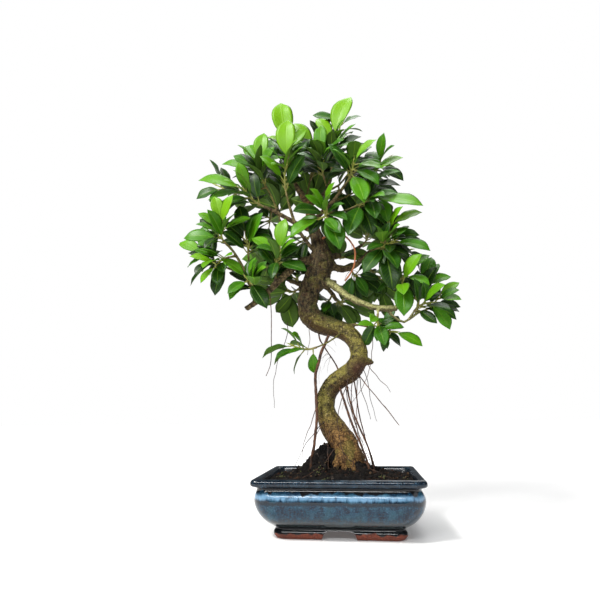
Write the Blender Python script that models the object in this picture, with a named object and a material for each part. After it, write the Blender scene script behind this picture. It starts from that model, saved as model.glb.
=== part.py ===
"""Ficus bonsai with an S-shaped trunk, aerial roots and leafy shoots, planted in a glazed rectangular pot.

Sizes are in millimetres; new_object turns them into metres. X runs along the pot, -Y is its front, Z is up.
The pot is modelled about its own middle, and the whole plant is centred on the origin at the end.
"""

import math

import bmesh
import bpy
from mathutils import Matrix, Quaternion, Vector
from mathutils.bvhtree import BVHTree

MM = 0.001
GAP = 0.3  # between pieces that touch

# Pot
RIM_LENGTH = 152
RIM_DEPTH = 122
POT_HEIGHT = 51
FLOOR_TOP = 14.5
UNDERSIDE = 8.5
WALL = 6.5
FOOT_WIDTH = 7
FOOT_SETBACK = 20.5
ARCH_WIDTH_LONG = 31
ARCH_WIDTH_SHORT = 26
ARCH_HEIGHT = 7.4
DRAIN_HOLE = 12
DRAIN_SPACING = 56
SCREEN_SIDE = 20
SCREEN_THICKNESS = 1
SCREEN_BAR = 1.2
CORNER_STEPS = 5

# Soil
SOIL_BELOW_RIM = 6.5
MOUND_HEIGHT = 19
MOUND_REACH = 40
HUMP_HEIGHT = 19.5
HUMP_REACH = 22
HUMP_OFFSET = (-20, 10)

# Tree. Its tables are drawn over a rim DRAWN_RIM high, for a tree of DRAWN_HEIGHT and DRAWN_SPREAD.
TREE_HEIGHT = 465
TREE_SPREAD = 307
DRAWN_RIM = 51
DRAWN_HEIGHT = 465
DRAWN_SPREAD = 307
TRUNK_SIDES = 10
BRANCH_SIDES = 7
TWIG_SIDES = 5
TWIG_RADII = (1.5, 1.1)  # where a shoot's twig starts and ends
BRANCH_RADIUS = 2  # wood that starts thicker than this has BRANCH_SIDES
CURVE_STEPS = 2  # between two points of a route
STEM_RADIUS = 1.0
LEAF_WIDTH = 0.5  # of the blade's length
LEAF_THICKNESS = 1.0
LEAF_FOLD = 0.16
LEAF_BOW = 0.07
PETIOLE = 0.16  # of the leaf's length
LEAF_CLEARANCE = 0.45
LIGHT_SIDE = Vector((0, -0.8, 0.6))  # leaves at the front turn their faces this way
BACK_SHOOTS_FROM = 30  # behind this place, leaves face the back's light instead
GOLDEN_TURN = 137.5

# Trunk: x, y, z, radius
TRUNK = (
    (8, -2, 42, 17),
    (8, -2, 52, 17),
    (8, -2, 60, 16),
    (8, -1, 69, 14.2),
    (3, 1, 80, 13),
    (-5, 3, 91, 12),
    (-11, 4, 102, 10.6),
    (-13.5, 4, 113, 9.6),
    (-12, 4, 124, 9.2),
    (-6, 3, 134, 9.3),
    (4, 0, 141, 9.5),
    (14, -3, 147, 9.8),
    (21, -4, 156, 9.4),
    (23, -3, 167, 9),
    (19, 0, 179, 9),
    (10, 3, 189, 9.3),
    (-4, 5, 195, 9.8),
    (-18, 6, 200, 10.4),
    (-27, 6, 209, 10.8),
    (-30, 6, 221, 10.2),
    (-28, 5, 233, 10.8),
    (-23, 4, 244, 12),
    (-17, 4, 255, 12.6),
    (-13, 3, 267, 11.4),
    (-14, 3, 281, 9.2),
    (-18, 3, 297, 7.2),
    (-22, 4, 310, 5.7),
    (-25, 4, 323, 5.2),
    (-27, 5, 338, 4.5),
    (-35, 6, 351, 3.4),
    (-41, 6, 363, 2.4),
    (-44, 6, 374, 1.6),
)

# Stub of a cut branch on the outside of the bend: radius at both ends and points
CUT_STUB = (5.5, 1.2, ((22, -4, 158), (30, -4, 157), (37, -5, 155.5)))

# Branches: for each one its routes, and for each route the radius at both ends and its points
BRANCHES = {
    "branch_low_right": (
        (4.4, 2.4, (
            (-22, 4, 250), (-8, 2, 244), (4, -6, 234), (14, -14, 223), (37, -24, 209),
            (52, -24, 206), (62, -20, 207),
        )),
        (1.6, 1.1, ((51, -24, 206), (58, -21, 199), (69, -14, 194), (83, -6, 204), (94, 0, 209))),
    ),
    "branch_low_left": (
        (4.6, 2.4, (
            (-16, 3, 268), (-34, 0, 269), (-50, -8, 253), (-65, -12, 237), (-82, -12, 223),
            (-93, -12, 215),
        )),
        (1.9, 1.2, ((-83, -12, 223), (-95, -14, 256), (-106, -18, 277), (-115, -20, 287))),
    ),
    "branch_upper_left": ((3.2, 1.6, ((-22, 4, 304), (-42, 0, 314), (-63, -4, 327), (-76, -7, 333))),),
    "branch_pale_left": (
        (2.2, 1.4, (
            (-16, 2, 272), (-27, -8, 286), (-38, -14, 303), (-44, -16, 322), (-48, -18, 339),
        )),
    ),
    "branch_right_mid": (
        (4.4, 1.8, (
            (-13, 3, 266), (9, 10, 260), (24, 8, 264), (40, 4, 276), (53, 0, 283),
        )),
    ),
    "branch_upper_right": ((2.8, 1.6, ((-23, 4, 312), (-12, 0, 324), (2, -8, 333), (17, -14, 350))),),
    "branch_top_right": ((2.6, 1.5, ((-27, 5, 334), (-14, 7, 346), (-4, 8, 357), (0, 5, 376))),),
    "branch_back_left": ((3.8, 1.8, ((-25, 5, 240), (-38, 26, 250), (-56, 50, 262), (-74, 66, 280))),),
    "branch_back_right": ((3.8, 1.8, ((-13, 4, 274), (4, 26, 281), (20, 44, 292), (32, 56, 304))),),
    "branch_back_top": ((2.6, 1.5, ((-19, 4, 298), (-22, 20, 314), (-24, 36, 336), (-27, 46, 354))),),
    "branch_back_low_right": ((3.2, 1.8, ((-20, 5, 246), (-14, 18, 246), (-6, 30, 240), (-1, 38, 233))),),
    "twig_low_right": ((1.4, 1.0, ((10, 3, 189), (18, 0, 196), (28, -3, 194), (37, -4, 191))),),
    "twig_hanging_left": ((1.2, 0.9, ((8, 2, 190), (1, -12, 182), (-9, -17, 175), (-20, -16, 171))),),
}

# Shoots: branch, points of the twig that carries it (none if it ends the branch's last route),
# tip of its stem, leaves along the stem, their length, turn of the first one, and leaf tips
# set by hand: the end leaf first, then those down the stem
SHOOTS = {
    "shoot_top_left": (
        "trunk", (), (-48, -6, 407), 8, 44, 40,
        ((-55, -14, 459), (-69, -18, 413), (-31, -18, 402), (-78, -2, 394), (-64, -24, 380)),
    ),
    "shoot_top_left_front": (
        "branch_pale_left", (), (-47, -22, 376), 7, 42, 200,
        ((-45, -28, 425), (-26, -34, 366), (-60, -42, 364)),
    ),
    "shoot_top_mid_left": (
        "trunk", ((-31, 6, 344), (-29, 16, 358), (-26, 20, 376)), (-21, 18, 408), 8, 42, 320,
        ((-42, 14, 450), (-34, 34, 418), (2, 30, 430)),
    ),
    "shoot_top_mid": (
        "branch_top_right", ((-5, 8, 356), (-8, 0, 366)), (-10, -12, 386), 8, 40, 90,
        ((-8, -20, 420), (-26, -14, 397), (4, -26, 390), (12, -22, 364)),
    ),
    "shoot_top_right": (
        "branch_top_right", (), (4, 0, 413), 8, 42, 150,
        ((25, -4, 465), (-14, 2, 444), (19, 10, 426), (22, -14, 396)),
    ),
    "shoot_top_right_outer": (
        "branch_top_right", ((-7, 8, 353), (8, 12, 362), (18, 12, 374)), (28, 8, 392), 7, 40, 10,
        ((22, 6, 428), (47, 16, 410), (52, 8, 388)),
    ),
    "shoot_right_upper": (
        "branch_upper_right", (), (26, -24, 368), 8, 38, 60,
        ((50, -36, 386), (56, -26, 358), (16, -40, 372), (50, -36, 336), (2, -34, 354), (35, -38, 317)),
    ),
    "shoot_right_upper_tip": (
        "branch_upper_right", ((2, -8, 333), (14, 4, 342), (28, 12, 353)), (48, 15, 376), 7, 40, 100,
        ((81, 12, 391), (66, 22, 370), (50, 24, 410)),
    ),
    "shoot_right_arch": (
        "branch_upper_right", ((-10, -1, 325), (6, -3, 321), (22, -7, 324)), (42, -12, 331), 8, 42, 120,
        (
            (93, -24, 314), (46, -34, 300), (58, 2, 318), (30, -30, 340), (69, -20, 328),
            (18, -32, 284), (42, -20, 287),
        ),
    ),
    "shoot_right_mid_high": (
        "branch_right_mid", (), (61, -6, 300), 8, 38, 30,
        ((94, -12, 312), (54, -4, 330), (40, -20, 308), (76, 4, 286)),
    ),
    "shoot_right_mid": (
        "branch_right_mid", ((38, 4, 275), (46, -6, 275)), (62, -15, 279), 8, 38, 80,
        (
            (97, -24, 264), (78, -24, 290), (58, -34, 262), (36, -28, 268), (32, -22, 246),
            (59, -24, 227),
        ),
    ),
    "shoot_right_fork": (
        "branch_low_right", ((61, -20, 207), (67, -16, 218), (69, -14, 230)), (76, -18, 250), 7, 38, 20,
        (
            (88, -24, 276), (72, -18, 282), (98, -14, 262), (52, -26, 252), (94, -26, 228),
            (52, -12, 234), (68, -30, 199),
        ),
    ),
    "shoot_right_far": (
        "branch_low_right", ((82, -7, 203), (85, 0, 214)), (93, 7, 236), 8, 34, 140,
        ((104, 12, 268), (122, 10, 246), (112, 14, 262), (114, 14, 229)),
    ),
    "shoot_right_tip": (
        "branch_low_right", (), (106, 3, 222), 5, 32, 40,
        ((128, 2, 236), (126, -10, 216), (112, 26, 226)),
    ),
    "shoot_right_droop": (
        "branch_low_right", ((74, -11, 197), (80, -15, 205)), (94, -21, 211), 6, 36, 60,
        ((110, -26, 184), (120, -16, 196), (88, -34, 228)),
    ),
    "shoot_low_right_hang": (
        "branch_low_right", ((44, -25, 208), (43, -29, 199)), (43, -26, 183), 4, 32, 250,
        ((50, -34, 166), (66, -34, 186), (24, -34, 190)),
    ),
    "shoot_low_twig": (
        "twig_low_right", (), (58, -8, 186), 4, 32, 100,
        ((84, -14, 170), (46, -10, 169), (70, 8, 194), (46, 12, 204)),
    ),
    "shoot_left_light": (
        "branch_upper_left", (), (-97, -13, 352), 7, 42, 230,
        ((-146, -22, 364), (-138, -12, 344), (-100, -30, 376), (-123, -4, 328)),
    ),
    "shoot_left_upper": (
        "branch_upper_left", ((-60, -4, 325), (-66, -7, 342), (-73, -8, 356)), (-80, -10, 380), 8, 42, 300,
        (
            (-75, -14, 420), (-96, 4, 418), (-122, -14, 386), (-64, 4, 412), (-120, 6, 400),
            (-66, -36, 372),
        ),
    ),
    "shoot_left_far": (
        "branch_low_left", (), (-119, -23, 308), 7, 40, 10,
        (
            (-126, -26, 338), (-104, -32, 334), (-142, -32, 318), (-88, -18, 316), (-148, -10, 300),
            (-133, -36, 277),
        ),
    ),
    "shoot_left_front": (
        "branch_low_left", ((-104, -17, 273), (-111, -22, 270)), (-121, -29, 259), 6, 38, 200,
        ((-138, -28, 242), (-146, -40, 268), (-116, -40, 236), (-100, -46, 264)),
    ),
    "shoot_left_tip": (
        "branch_low_left", ((-93, -14, 252), (-112, -4, 262), (-128, 2, 270)), (-148, 6, 283), 5, 36, 70,
        ((-179, 10, 304), (-172, 18, 276), (-150, 4, 318), (-152, -8, 258)),
    ),
    "shoot_left_mid": (
        "branch_low_left", ((-92, -14, 249), (-92, -8, 266), (-93, -6, 276)), (-96, -6, 298), 8, 40, 170,
        ((-104, -6, 336), (-78, -6, 326), (-66, -14, 292), (-122, 6, 320)),
    ),
    "shoot_left_inner": (
        "branch_low_left", ((-62, -11, 240), (-60, -17, 252)), (-55, -22, 272), 8, 36, 100,
        (
            (-49, -24, 308), (-78, -32, 276), (-84, -24, 290), (-34, -30, 262), (-60, -38, 240),
            (-27, -34, 247),
        ),
    ),
    "shoot_left_low": (
        "branch_low_left", ((-76, -12, 228), (-80, -18, 233)), (-88, -28, 243), 6, 36, 320,
        ((-112, -38, 262), (-106, -32, 222), (-66, -38, 210), (-66, -42, 250)),
    ),
    "shoot_centre": (
        "branch_upper_right", ((-8, -2, 326), (-5, -13, 318)), (-9, -27, 306), 7, 38, 160,
        ((-41, -36, 284), (6, -40, 286), (14, -36, 316), (-18, -46, 330), (9, -36, 269)),
    ),
    "shoot_hanging_left": (
        "twig_hanging_left", (), (-43, -15, 174), 4, 30, 0,
        ((-73, -17, 163), (-62, -18, 156), (-54, -15, 192), (-42, -18, 146)),
    ),
    "shoot_back_left_low": ("branch_back_left", (), (-96, 82, 296), 8, 42, 30, ()),
    "shoot_back_left_high": (
        "branch_back_left", ((-53, 46, 260), (-64, 60, 290), (-68, 62, 318), (-70, 60, 344)),
        (-76, 56, 384), 8, 44, 110, (),
    ),
    "shoot_back_right_high": ("branch_back_right", (), (40, 64, 340), 8, 44, 60, ()),
    "shoot_back_right_low": (
        "branch_back_right", ((14, 37, 287), (30, 50, 284), (38, 56, 276)), (50, 62, 252), 8, 42, 0, (),
    ),
    "shoot_back_top": ("branch_back_top", (), (-34, 52, 390), 8, 44, 200, ()),
    "shoot_back_low_right": ("branch_back_low_right", (), (12, 50, 236), 8, 38, 90, ()),
    "shoot_back_centre": (
        "branch_back_left", ((-36, 22, 248), (-45, 32, 245)), (-68, 42, 256), 7, 36, 250,
        ((-96, 44, 262), (-50, 34, 203)),
    ),
}

# Shoots whose leaves hang with an edge to the front: how far their faces are turned
FACE_TURN = {"shoot_hanging_left": 68}

# Aerial roots: piece it grows from, piece it ends in, radius at both ends, points
ROOTS = {
    "root_left_thick": (
        "trunk", "soil", 1.5, 1.6,
        (
            (-7, 3, 194), (-9, 0, 182), (-14, -8, 170), (-18, -11, 156), (-21, -12, 142),
            (-21, -10, 122), (-21, -10, 99), (-24, -11, 77), (-27, -9, 62), (-28, -8, 44),
        ),
    ),
    "root_left_dark": (
        "trunk", "trunk", 0.8, 0.8,
        (
            (-20, 6, 198), (-17, 5, 182), (-9, 5, 168), (-1, 5, 155), (4, 1, 143),
        ),
    ),
    "root_right_front": (
        "trunk", "soil", 1.1, 1.2,
        (
            (0, 0, 138), (6, -8, 120), (13, -12, 98), (20, -15, 80), (26, -17, 64), (30, -18, 48),
        ),
    ),
    "root_right_middle": (
        "trunk", "soil", 0.9, 1.0,
        (
            (8, -3, 142), (11, -3, 124), (16, -4, 104), (25, -5, 82), (31, -6, 64), (34, -7, 46),
        ),
    ),
    "root_right_back": (
        "trunk", "soil", 0.7, 0.8,
        (
            (16, -3, 148), (18, 3, 130), (20, 5, 108), (25, 6, 84), (30, 7, 64), (33, 8, 46),
        ),
    ),
    "root_scar_long": (
        "trunk", "", 0.6, 0.5, ((20, -4, 152), (24, -9, 140), (40, -16, 119), (57, -20, 96)),
    ),
    "root_hanging_left": (
        "branch_low_left", "", 0.6, 0.5,
        (
            (-69, -12, 234), (-67, -12, 224), (-66, -12, 208), (-66, -12, 181), (-67, -12, 156),
            (-71, -12, 145),
        ),
    ),
    "root_crown_loop": (
        "trunk", "", 0.8, 0.7,
        (
            (-16, 2, 290), (-2, -12, 293), (14, -20, 286), (23, -25, 270), (22, -26, 252),
            (13, -27, 237),
        ),
    ),
}


def clear_scene():
    for thing in list(bpy.data.objects):
        bpy.data.objects.remove(thing, do_unlink=True)


def new_material(name, colour, roughness, coat=0.0):
    made = bpy.data.materials.new(name)
    made.use_nodes = True
    shader = made.node_tree.nodes["Principled BSDF"]
    shader.inputs["Base Color"].default_value = (*colour, 1)
    shader.inputs["Roughness"].default_value = roughness
    shader.inputs["Metallic"].default_value = 0
    shader.inputs["Coat Weight"].default_value = coat
    return made


def new_object(name, bm, material, smooth=True):
    """Turns a bmesh in millimetres into an object in metres."""
    bmesh.ops.recalc_face_normals(bm, faces=bm.faces)
    bmesh.ops.scale(bm, vec=(MM, MM, MM), verts=bm.verts)
    mesh = bpy.data.meshes.new(name)
    bm.to_mesh(mesh)
    bm.free()
    if smooth:
        mesh.shade_smooth()
        mesh.set_sharp_from_angle(angle=math.radians(50))
    made = bpy.data.objects.new(name, mesh)
    bpy.context.scene.collection.objects.link(made)
    if material:
        mesh.materials.append(material)
    return made


def new_helper(name, bm):
    helper = new_object(name, bm, None, smooth=False)
    helper.hide_render = True
    helper.display_type = "WIRE"
    return helper


def combine(target, helper, operation):
    step = target.modifiers.new(f"{operation.lower()} {helper.name}", "BOOLEAN")
    step.operation = operation
    step.object = helper


def place(point):
    """A point of the tree's tables on the pot's rim, at the tree's own height and spread."""
    spread = TREE_SPREAD / DRAWN_SPREAD
    rise = (TREE_HEIGHT - DRAWN_RIM) / (DRAWN_HEIGHT - DRAWN_RIM)
    x, y, z = point[:3]
    height = max(z - DRAWN_RIM, 0) * rise + min(z - DRAWN_RIM, 0)
    return Vector((x * spread, y * spread, POT_HEIGHT + height))


def loft(bm, rings):
    """Skins rings of points with equal counts and closes both ends."""
    loops = [[bm.verts.new(point) for point in ring] for ring in rings]
    count = len(loops[0])
    for low, high in zip(loops, loops[1:]):
        for i in range(count):
            j = (i + 1) % count
            bm.faces.new((low[i], low[j], high[j], high[i]))
    bm.faces.new(reversed(loops[0]))
    bm.faces.new(loops[-1])
    return loops


def rounded_rectangle(half_x, half_y, radius, z):
    corners = ((1, 1, 0), (-1, 1, 90), (-1, -1, 180), (1, -1, 270))
    points = []
    for sign_x, sign_y, start in corners:
        for step in range(CORNER_STEPS + 1):
            angle = math.radians(start + 90 * step / CORNER_STEPS)
            x = sign_x * (half_x - radius) + radius * math.cos(angle)
            y = sign_y * (half_y - radius) + radius * math.sin(angle)
            points.append(Vector((x, y, z)))
    return points


def pot_ring(inset, z, radius):
    return rounded_rectangle(RIM_LENGTH / 2 - inset, RIM_DEPTH / 2 - inset, radius, z)


def inner_wall():
    """Inset, height and corner radius of the pot's inside, from the floor up to the rim."""
    top = POT_HEIGHT
    return (
        (24, FLOOR_TOP, 8),
        (WALL + 9, FLOOR_TOP + 3, 12),
        (WALL + 2, FLOOR_TOP + 11, 15),
        (WALL, top - 18, 15),
        (WALL + 1.5, top - 10, 12),
        (WALL + 1, top - 5, 7),
    )


def pot_profile():
    """Inset from the rim's edge, height and corner radius, from the underside round to the inner floor."""
    top = POT_HEIGHT
    foot = FOOT_SETBACK
    outside = (
        (foot + FOOT_WIDTH + 3, UNDERSIDE, 6),
        (foot + FOOT_WIDTH + 0.5, UNDERSIDE - 1, 6),
        (foot + FOOT_WIDTH, 0, 6),
        (foot + 0.5, 0, 8),
        (foot - 1, 0.8, 8),
        (foot - 3.4, 4, 9),
        (foot - 2.5, 7.5, 9),
        (foot - 1.5, UNDERSIDE + 1, 9),
        (foot - 7, UNDERSIDE + 3.5, 14),
        (7, 18, 18),
        (2.2, 25, 20),
        (0.8, top - 20, 20),
        (1.6, top - 14.5, 17),
        (3.4, top - 10.5, 12),
        (4.2, top - 8.5, 9),
        (3.2, top - 7, 7),
        (0.7, top - 5.6, 6),
        (0, top - 3.2, 5.5),
        (0.7, top - 1.1, 5),
        (2.4, top, 4.5),
        (WALL - 1.2, top, 4),
        (WALL + 0.3, top - 1.4, 4),
    )
    return outside + tuple(reversed(inner_wall()))


def arch_cutter(name, width, length, along_x):
    """A bar with a rounded top that cuts one opening through two sides of the foot ring."""
    half = width / 2
    outline = (
        (half + 1, -1),
        (half, 0),
        (half - 3, ARCH_HEIGHT - 3),
        (half - 5, ARCH_HEIGHT - 0.8),
        (half - 7.5, ARCH_HEIGHT),
    )
    outline = outline + tuple((-x, z) for x, z in reversed(outline))
    rings = []
    for end in (-length / 2, length / 2):
        rings.append([Vector((end, x, z)) if along_x else Vector((x, end, z)) for x, z in outline])
    bm = bmesh.new()
    loft(bm, rings)
    return new_helper(name, bm)


def drain_places():
    return [Vector((side * DRAIN_SPACING / 2, 0, 0)) for side in (-1, 1)]


def build_pot(materials):
    bm = bmesh.new()
    loft(bm, [pot_ring(*station) for station in pot_profile()])
    pot = new_object("pot", bm, materials["glaze"])
    combine(pot, arch_cutter("arch_front_back", ARCH_WIDTH_LONG, 2 * RIM_DEPTH, False), "DIFFERENCE")
    combine(pot, arch_cutter("arch_sides", ARCH_WIDTH_SHORT, 2 * RIM_LENGTH, True), "DIFFERENCE")
    for number, centre in enumerate(drain_places(), 1):
        bm = bmesh.new()
        bmesh.ops.create_cone(
            bm, cap_ends=True, segments=16, radius1=DRAIN_HOLE / 2, radius2=DRAIN_HOLE / 2,
            depth=2 * FLOOR_TOP, matrix=Matrix.Translation(centre + Vector((0, 0, FLOOR_TOP))),
        )
        combine(pot, new_helper(f"drain_hole_{number}", bm), "DIFFERENCE")


def box(bm, centre, size):
    matrix = Matrix.Translation(centre) @ Matrix.Diagonal((*size, 1))
    return bmesh.ops.create_cube(bm, size=1, matrix=matrix)


def build_screens(materials):
    """A square plastic mesh over each drain hole, as a plate with square openings."""
    opening = (SCREEN_SIDE - 5 * SCREEN_BAR) / 4
    pitch = opening + SCREEN_BAR
    for centre, side in zip(drain_places(), ("left", "right")):
        middle = centre + Vector((0, 0, FLOOR_TOP + GAP + SCREEN_THICKNESS / 2))
        bm = bmesh.new()
        box(bm, middle, (SCREEN_SIDE, SCREEN_SIDE, SCREEN_THICKNESS))
        screen = new_object(f"drain_screen_{side}", bm, materials["plastic"], smooth=False)
        bm = bmesh.new()
        for row in range(4):
            for column in range(4):
                shift = Vector(((column - 1.5) * pitch, (row - 1.5) * pitch, 0))
                box(bm, middle + shift, (opening, opening, 3 * SCREEN_THICKNESS))
        combine(screen, new_helper(f"screen_openings_{side}", bm), "DIFFERENCE")


def bell(x, y, centre, reach):
    return math.exp(-((x - centre[0]) ** 2 + (y - centre[1]) ** 2) / reach**2)


def soil_height(x, y):
    foot = place(TRUNK[0])
    hump = (foot.x + HUMP_OFFSET[0], foot.y + HUMP_OFFSET[1])
    mound = MOUND_HEIGHT * bell(x, y, (foot.x, foot.y), MOUND_REACH)
    mound += HUMP_HEIGHT * bell(x, y, hump, HUMP_REACH)
    return POT_HEIGHT - SOIL_BELOW_RIM + mound


def build_soil(materials):
    surface = POT_HEIGHT - SOIL_BELOW_RIM
    rings = []
    for inset, z, radius in inner_wall():
        if z < surface - 1:
            floor_gap = GAP if z == FLOOR_TOP else 0
            rings.append(pot_ring(inset + GAP + 0.1, z + floor_gap, radius))
    edge = pot_ring(inner_wall()[-2][0] + GAP + 0.1, surface, inner_wall()[-2][2])
    rings.append(edge)
    for share in (0.86, 0.7, 0.56, 0.44, 0.33, 0.23, 0.12):
        ring = []
        for point in edge:
            x = point.x * share
            y = point.y * share
            ring.append(Vector((x, y, soil_height(x, y))))
        rings.append(ring)
    bm = bmesh.new()
    loops = loft(bm, rings)
    bmesh.ops.poke(bm, faces=[face for face in bm.faces if set(face.verts) == set(loops[-1])])
    return new_object("soil", bm, materials["soil"])


def smooth_route(points):
    """Points along a smooth curve through the given points, whose radius goes with them."""
    ends = (2 * points[0] - points[1], 2 * points[-1] - points[-2])
    route = [ends[0], *points, ends[1]]
    found = []
    for before, start, end, after in zip(route, route[1:], route[2:], route[3:]):
        for step in range(CURVE_STEPS):
            t = step / CURVE_STEPS
            found.append(
                start
                + 0.5 * t * (end - before)
                + 0.5 * t**2 * (2 * before - 5 * start + 4 * end - after)
                + 0.5 * t**3 * (3 * start - before - 3 * end + after)
            )
    return [*found, points[-1]]


def tapered_route(points, first, last):
    """A smooth route through points of the tree's tables, with a radius that goes from first to last."""
    share = 1 / (len(points) - 1)
    placed = [Vector((*place(point), first + (last - first) * i * share)) for i, point in enumerate(points)]
    return smooth_route(placed)


def tangents(centres):
    found = []
    for i in range(len(centres)):
        ahead = centres[min(i + 1, len(centres) - 1)]
        behind = centres[max(i - 1, 0)]
        found.append((ahead - behind).normalized())
    return found


def section_frames(directions):
    """One side vector for each direction, carried along the route without twisting."""
    start = Vector((0, 1, 0)) if abs(directions[0].y) < 0.9 else Vector((1, 0, 0))
    side = directions[0].cross(start).normalized()
    found = []
    for direction in directions:
        side = (side - direction * side.dot(direction)).normalized()
        found.append(side.copy())
    return found


def tube_rings(route, sides, margin=0.0):
    """Rings round a route of 4-vectors. With a margin, the tube clears the plain one by that much."""
    centres = [Vector(point[:3]) for point in route]
    directions = tangents(centres)
    centres[0] = centres[0] - directions[0] * margin
    centres[-1] = centres[-1] + directions[-1] * margin
    widening = 1 / math.cos(math.pi / sides) if margin else 1
    rings = []
    for centre, direction, side, point in zip(centres, directions, section_frames(directions), route):
        across = direction.cross(side)
        ring = []
        for i in range(sides):
            angle = math.tau * i / sides
            radius = (point[3] + margin) * widening
            ring.append(centre + radius * (math.cos(angle) * side + math.sin(angle) * across))
        rings.append(ring)
    return rings


def tube(route, sides, margin=0.0):
    bm = bmesh.new()
    loft(bm, tube_rings(route, sides, margin))
    return bm


def trunk_route():
    """The trunk's route. A lower tree has a slimmer trunk."""
    slimness = (TREE_HEIGHT - DRAWN_RIM) / (DRAWN_HEIGHT - DRAWN_RIM)
    points = [Vector((*place(point), point[3] * slimness)) for point in TRUNK]
    return smooth_route(points)


def route_sides(route):
    return BRANCH_SIDES if route[0][3] > BRANCH_RADIUS else TWIG_SIDES


def branch_routes(name):
    """Smooth routes of a branch: its own, then the twig of each shoot that it carries."""
    twigs = []
    if name == "trunk":
        own = [trunk_route()]
        first, last, points = CUT_STUB
        twigs.append(tapered_route(points, first, last))
    else:
        own = [tapered_route(points, first, last) for first, last, points in BRANCHES[name]]
    for branch, points, *rest in SHOOTS.values():
        if branch == name and points:
            twigs.append(tapered_route(points, *TWIG_RADII))
    return own, twigs


def build_wood(name, material, cutter):
    """A branch or the trunk with its twigs, as one solid that stops short of the piece it grows from."""
    own, twigs = branch_routes(name)
    first = own[0]
    wood = new_object(name, tube(first, TRUNK_SIDES if name == "trunk" else route_sides(first)), material)
    for number, route in enumerate(own[1:] + twigs, 1):
        combine(wood, new_helper(f"{name}_part_{number}", tube(route, route_sides(route))), "UNION")
    if cutter:
        combine(wood, cutter, "DIFFERENCE")
    return wood


def build_roots(materials, cutters, soil):
    for name, (start, end, first, last, points) in ROOTS.items():
        route = tapered_route(points, first, last)
        root = new_object(name, tube(route, TWIG_SIDES), materials["root"])
        for piece in dict.fromkeys((start, end)):
            if piece in cutters:
                combine(root, cutters[piece], "DIFFERENCE")
        if end == "soil":
            combine(soil, new_helper(f"{name}_clearance", tube(route, TWIG_SIDES, GAP)), "DIFFERENCE")


def leaf_axes(base, tip, roll):
    along = (tip - base).normalized()
    light = LIGHT_SIDE * Vector((1, -1, 1)) if base.y > BACK_SHOOTS_FROM else LIGHT_SIDE
    facing = light - along * light.dot(along)
    if facing.length < 0.1:
        facing = along.orthogonal()
    normal = Quaternion(along, math.radians(roll)) @ facing.normalized()
    return along, normal, along.cross(normal)


def leaf_sections(base, tip, roll, margin=0.0):
    """Three four-point sections of a leaf, petiole end first: top, one edge, bottom, the other edge."""
    along, normal, side = leaf_axes(base, tip, roll)
    length = (tip - base).length
    half_width = LEAF_WIDTH * length * (1 - PETIOLE) / 2
    sections = []
    for t, share in ((PETIOLE, 0), (0.46, 1), (0.78, 0.74)):
        centre = base.lerp(tip, t) + normal * LEAF_BOW * length * 4 * t * (1 - t)
        slope = LEAF_BOW * 4 * (1 - 2 * t)
        up = (normal - along * slope).normalized()
        half = max(half_width * share, LEAF_THICKNESS / 2) + margin
        lift = up * LEAF_FOLD * half_width * share
        thick = up * (LEAF_THICKNESS / 2 + margin)
        out = side * half
        sections.append((centre + thick, centre + out + lift, centre - thick, centre - out + lift))
    return sections


def leaf_surface(base, tip, roll, margin):
    """A closed leaf with a margin round it, for testing whether its place is free."""
    along = (tip - base).normalized()
    sections = leaf_sections(base, tip, roll, margin)
    start = base.lerp(tip, 0.5 * PETIOLE)
    points = [start] + [point for section in sections for point in section] + [tip + along * margin]
    faces = []
    for i in range(4):
        j = (i + 1) % 4
        faces.append((0, 1 + j, 1 + i))
        for low in (1, 5):
            faces.append((low + i, low + j, low + 4 + j, low + 4 + i))
        faces.append((9 + i, 9 + j, 13))
    return points, faces


class Space:
    """What is already taken, as surfaces with a sphere round each for a quick first test."""

    def __init__(self):
        self.taken = []

    def add(self, points, faces, owner=""):
        centre = sum(points, Vector()) / len(points)
        reach = max((point - centre).length for point in points)
        self.taken.append((centre, reach, BVHTree.FromPolygons(points, faces), owner))

    def add_object(self, thing, graph):
        evaluated = thing.evaluated_get(graph)
        mesh = evaluated.to_mesh()
        points = [vertex.co / MM for vertex in mesh.vertices]
        self.add(points, [tuple(polygon.vertices) for polygon in mesh.polygons])
        evaluated.to_mesh_clear()

    def is_free(self, points, faces, owner):
        centre = sum(points, Vector()) / len(points)
        reach = max((point - centre).length for point in points)
        near = [
            tree for middle, radius, tree, whose in self.taken
            if (middle - centre).length < radius + reach and (not whose or whose != owner)
        ]
        if not near:
            return True
        mine = BVHTree.FromPolygons(points, faces)
        return not any(mine.overlap(tree) for tree in near)


def shoot_stem(name):
    """Centres, directions and corner points of a shoot's square stem, from its twig's end to its tip."""
    branch, points, tip, count = SHOOTS[name][:4]
    own = branch_routes(branch)[0]
    route = tapered_route(points, *TWIG_RADII) if points else own[-1]
    end = Vector(route[-1][:3])
    heading = (end - Vector(route[-2][:3])).normalized()
    start = end + heading * GAP
    tip = place(tip)
    bend = start + heading * (tip - start).length / 2
    centres = []
    directions = []
    for i in range(count + 2):
        t = i / (count + 1)
        centres.append(start.lerp(bend, t).lerp(bend.lerp(tip, t), t))
        directions.append((bend - start).lerp(tip - bend, t).normalized())
    rings = []
    for centre, direction, side in zip(centres, directions, section_frames(directions)):
        across = direction.cross(side)
        corners = [side + across, across - side, -side - across, side - across]
        rings.append([centre + corner.normalized() * STEM_RADIUS for corner in corners])
    return centres, directions, rings


def leaf_base(ring, next_ring, aim):
    """The side of a stretch of square stem that faces most towards aim: its index and its middle."""
    centre = (sum(ring, Vector()) + sum(next_ring, Vector())) / 8
    middles = []
    for i in range(4):
        j = (i + 1) % 4
        middles.append((ring[i] + ring[j] + next_ring[i] + next_ring[j]) / 4)
    side = max(range(4), key=lambda i: (middles[i] - centre).dot(aim))
    return side, middles[side]


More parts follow.
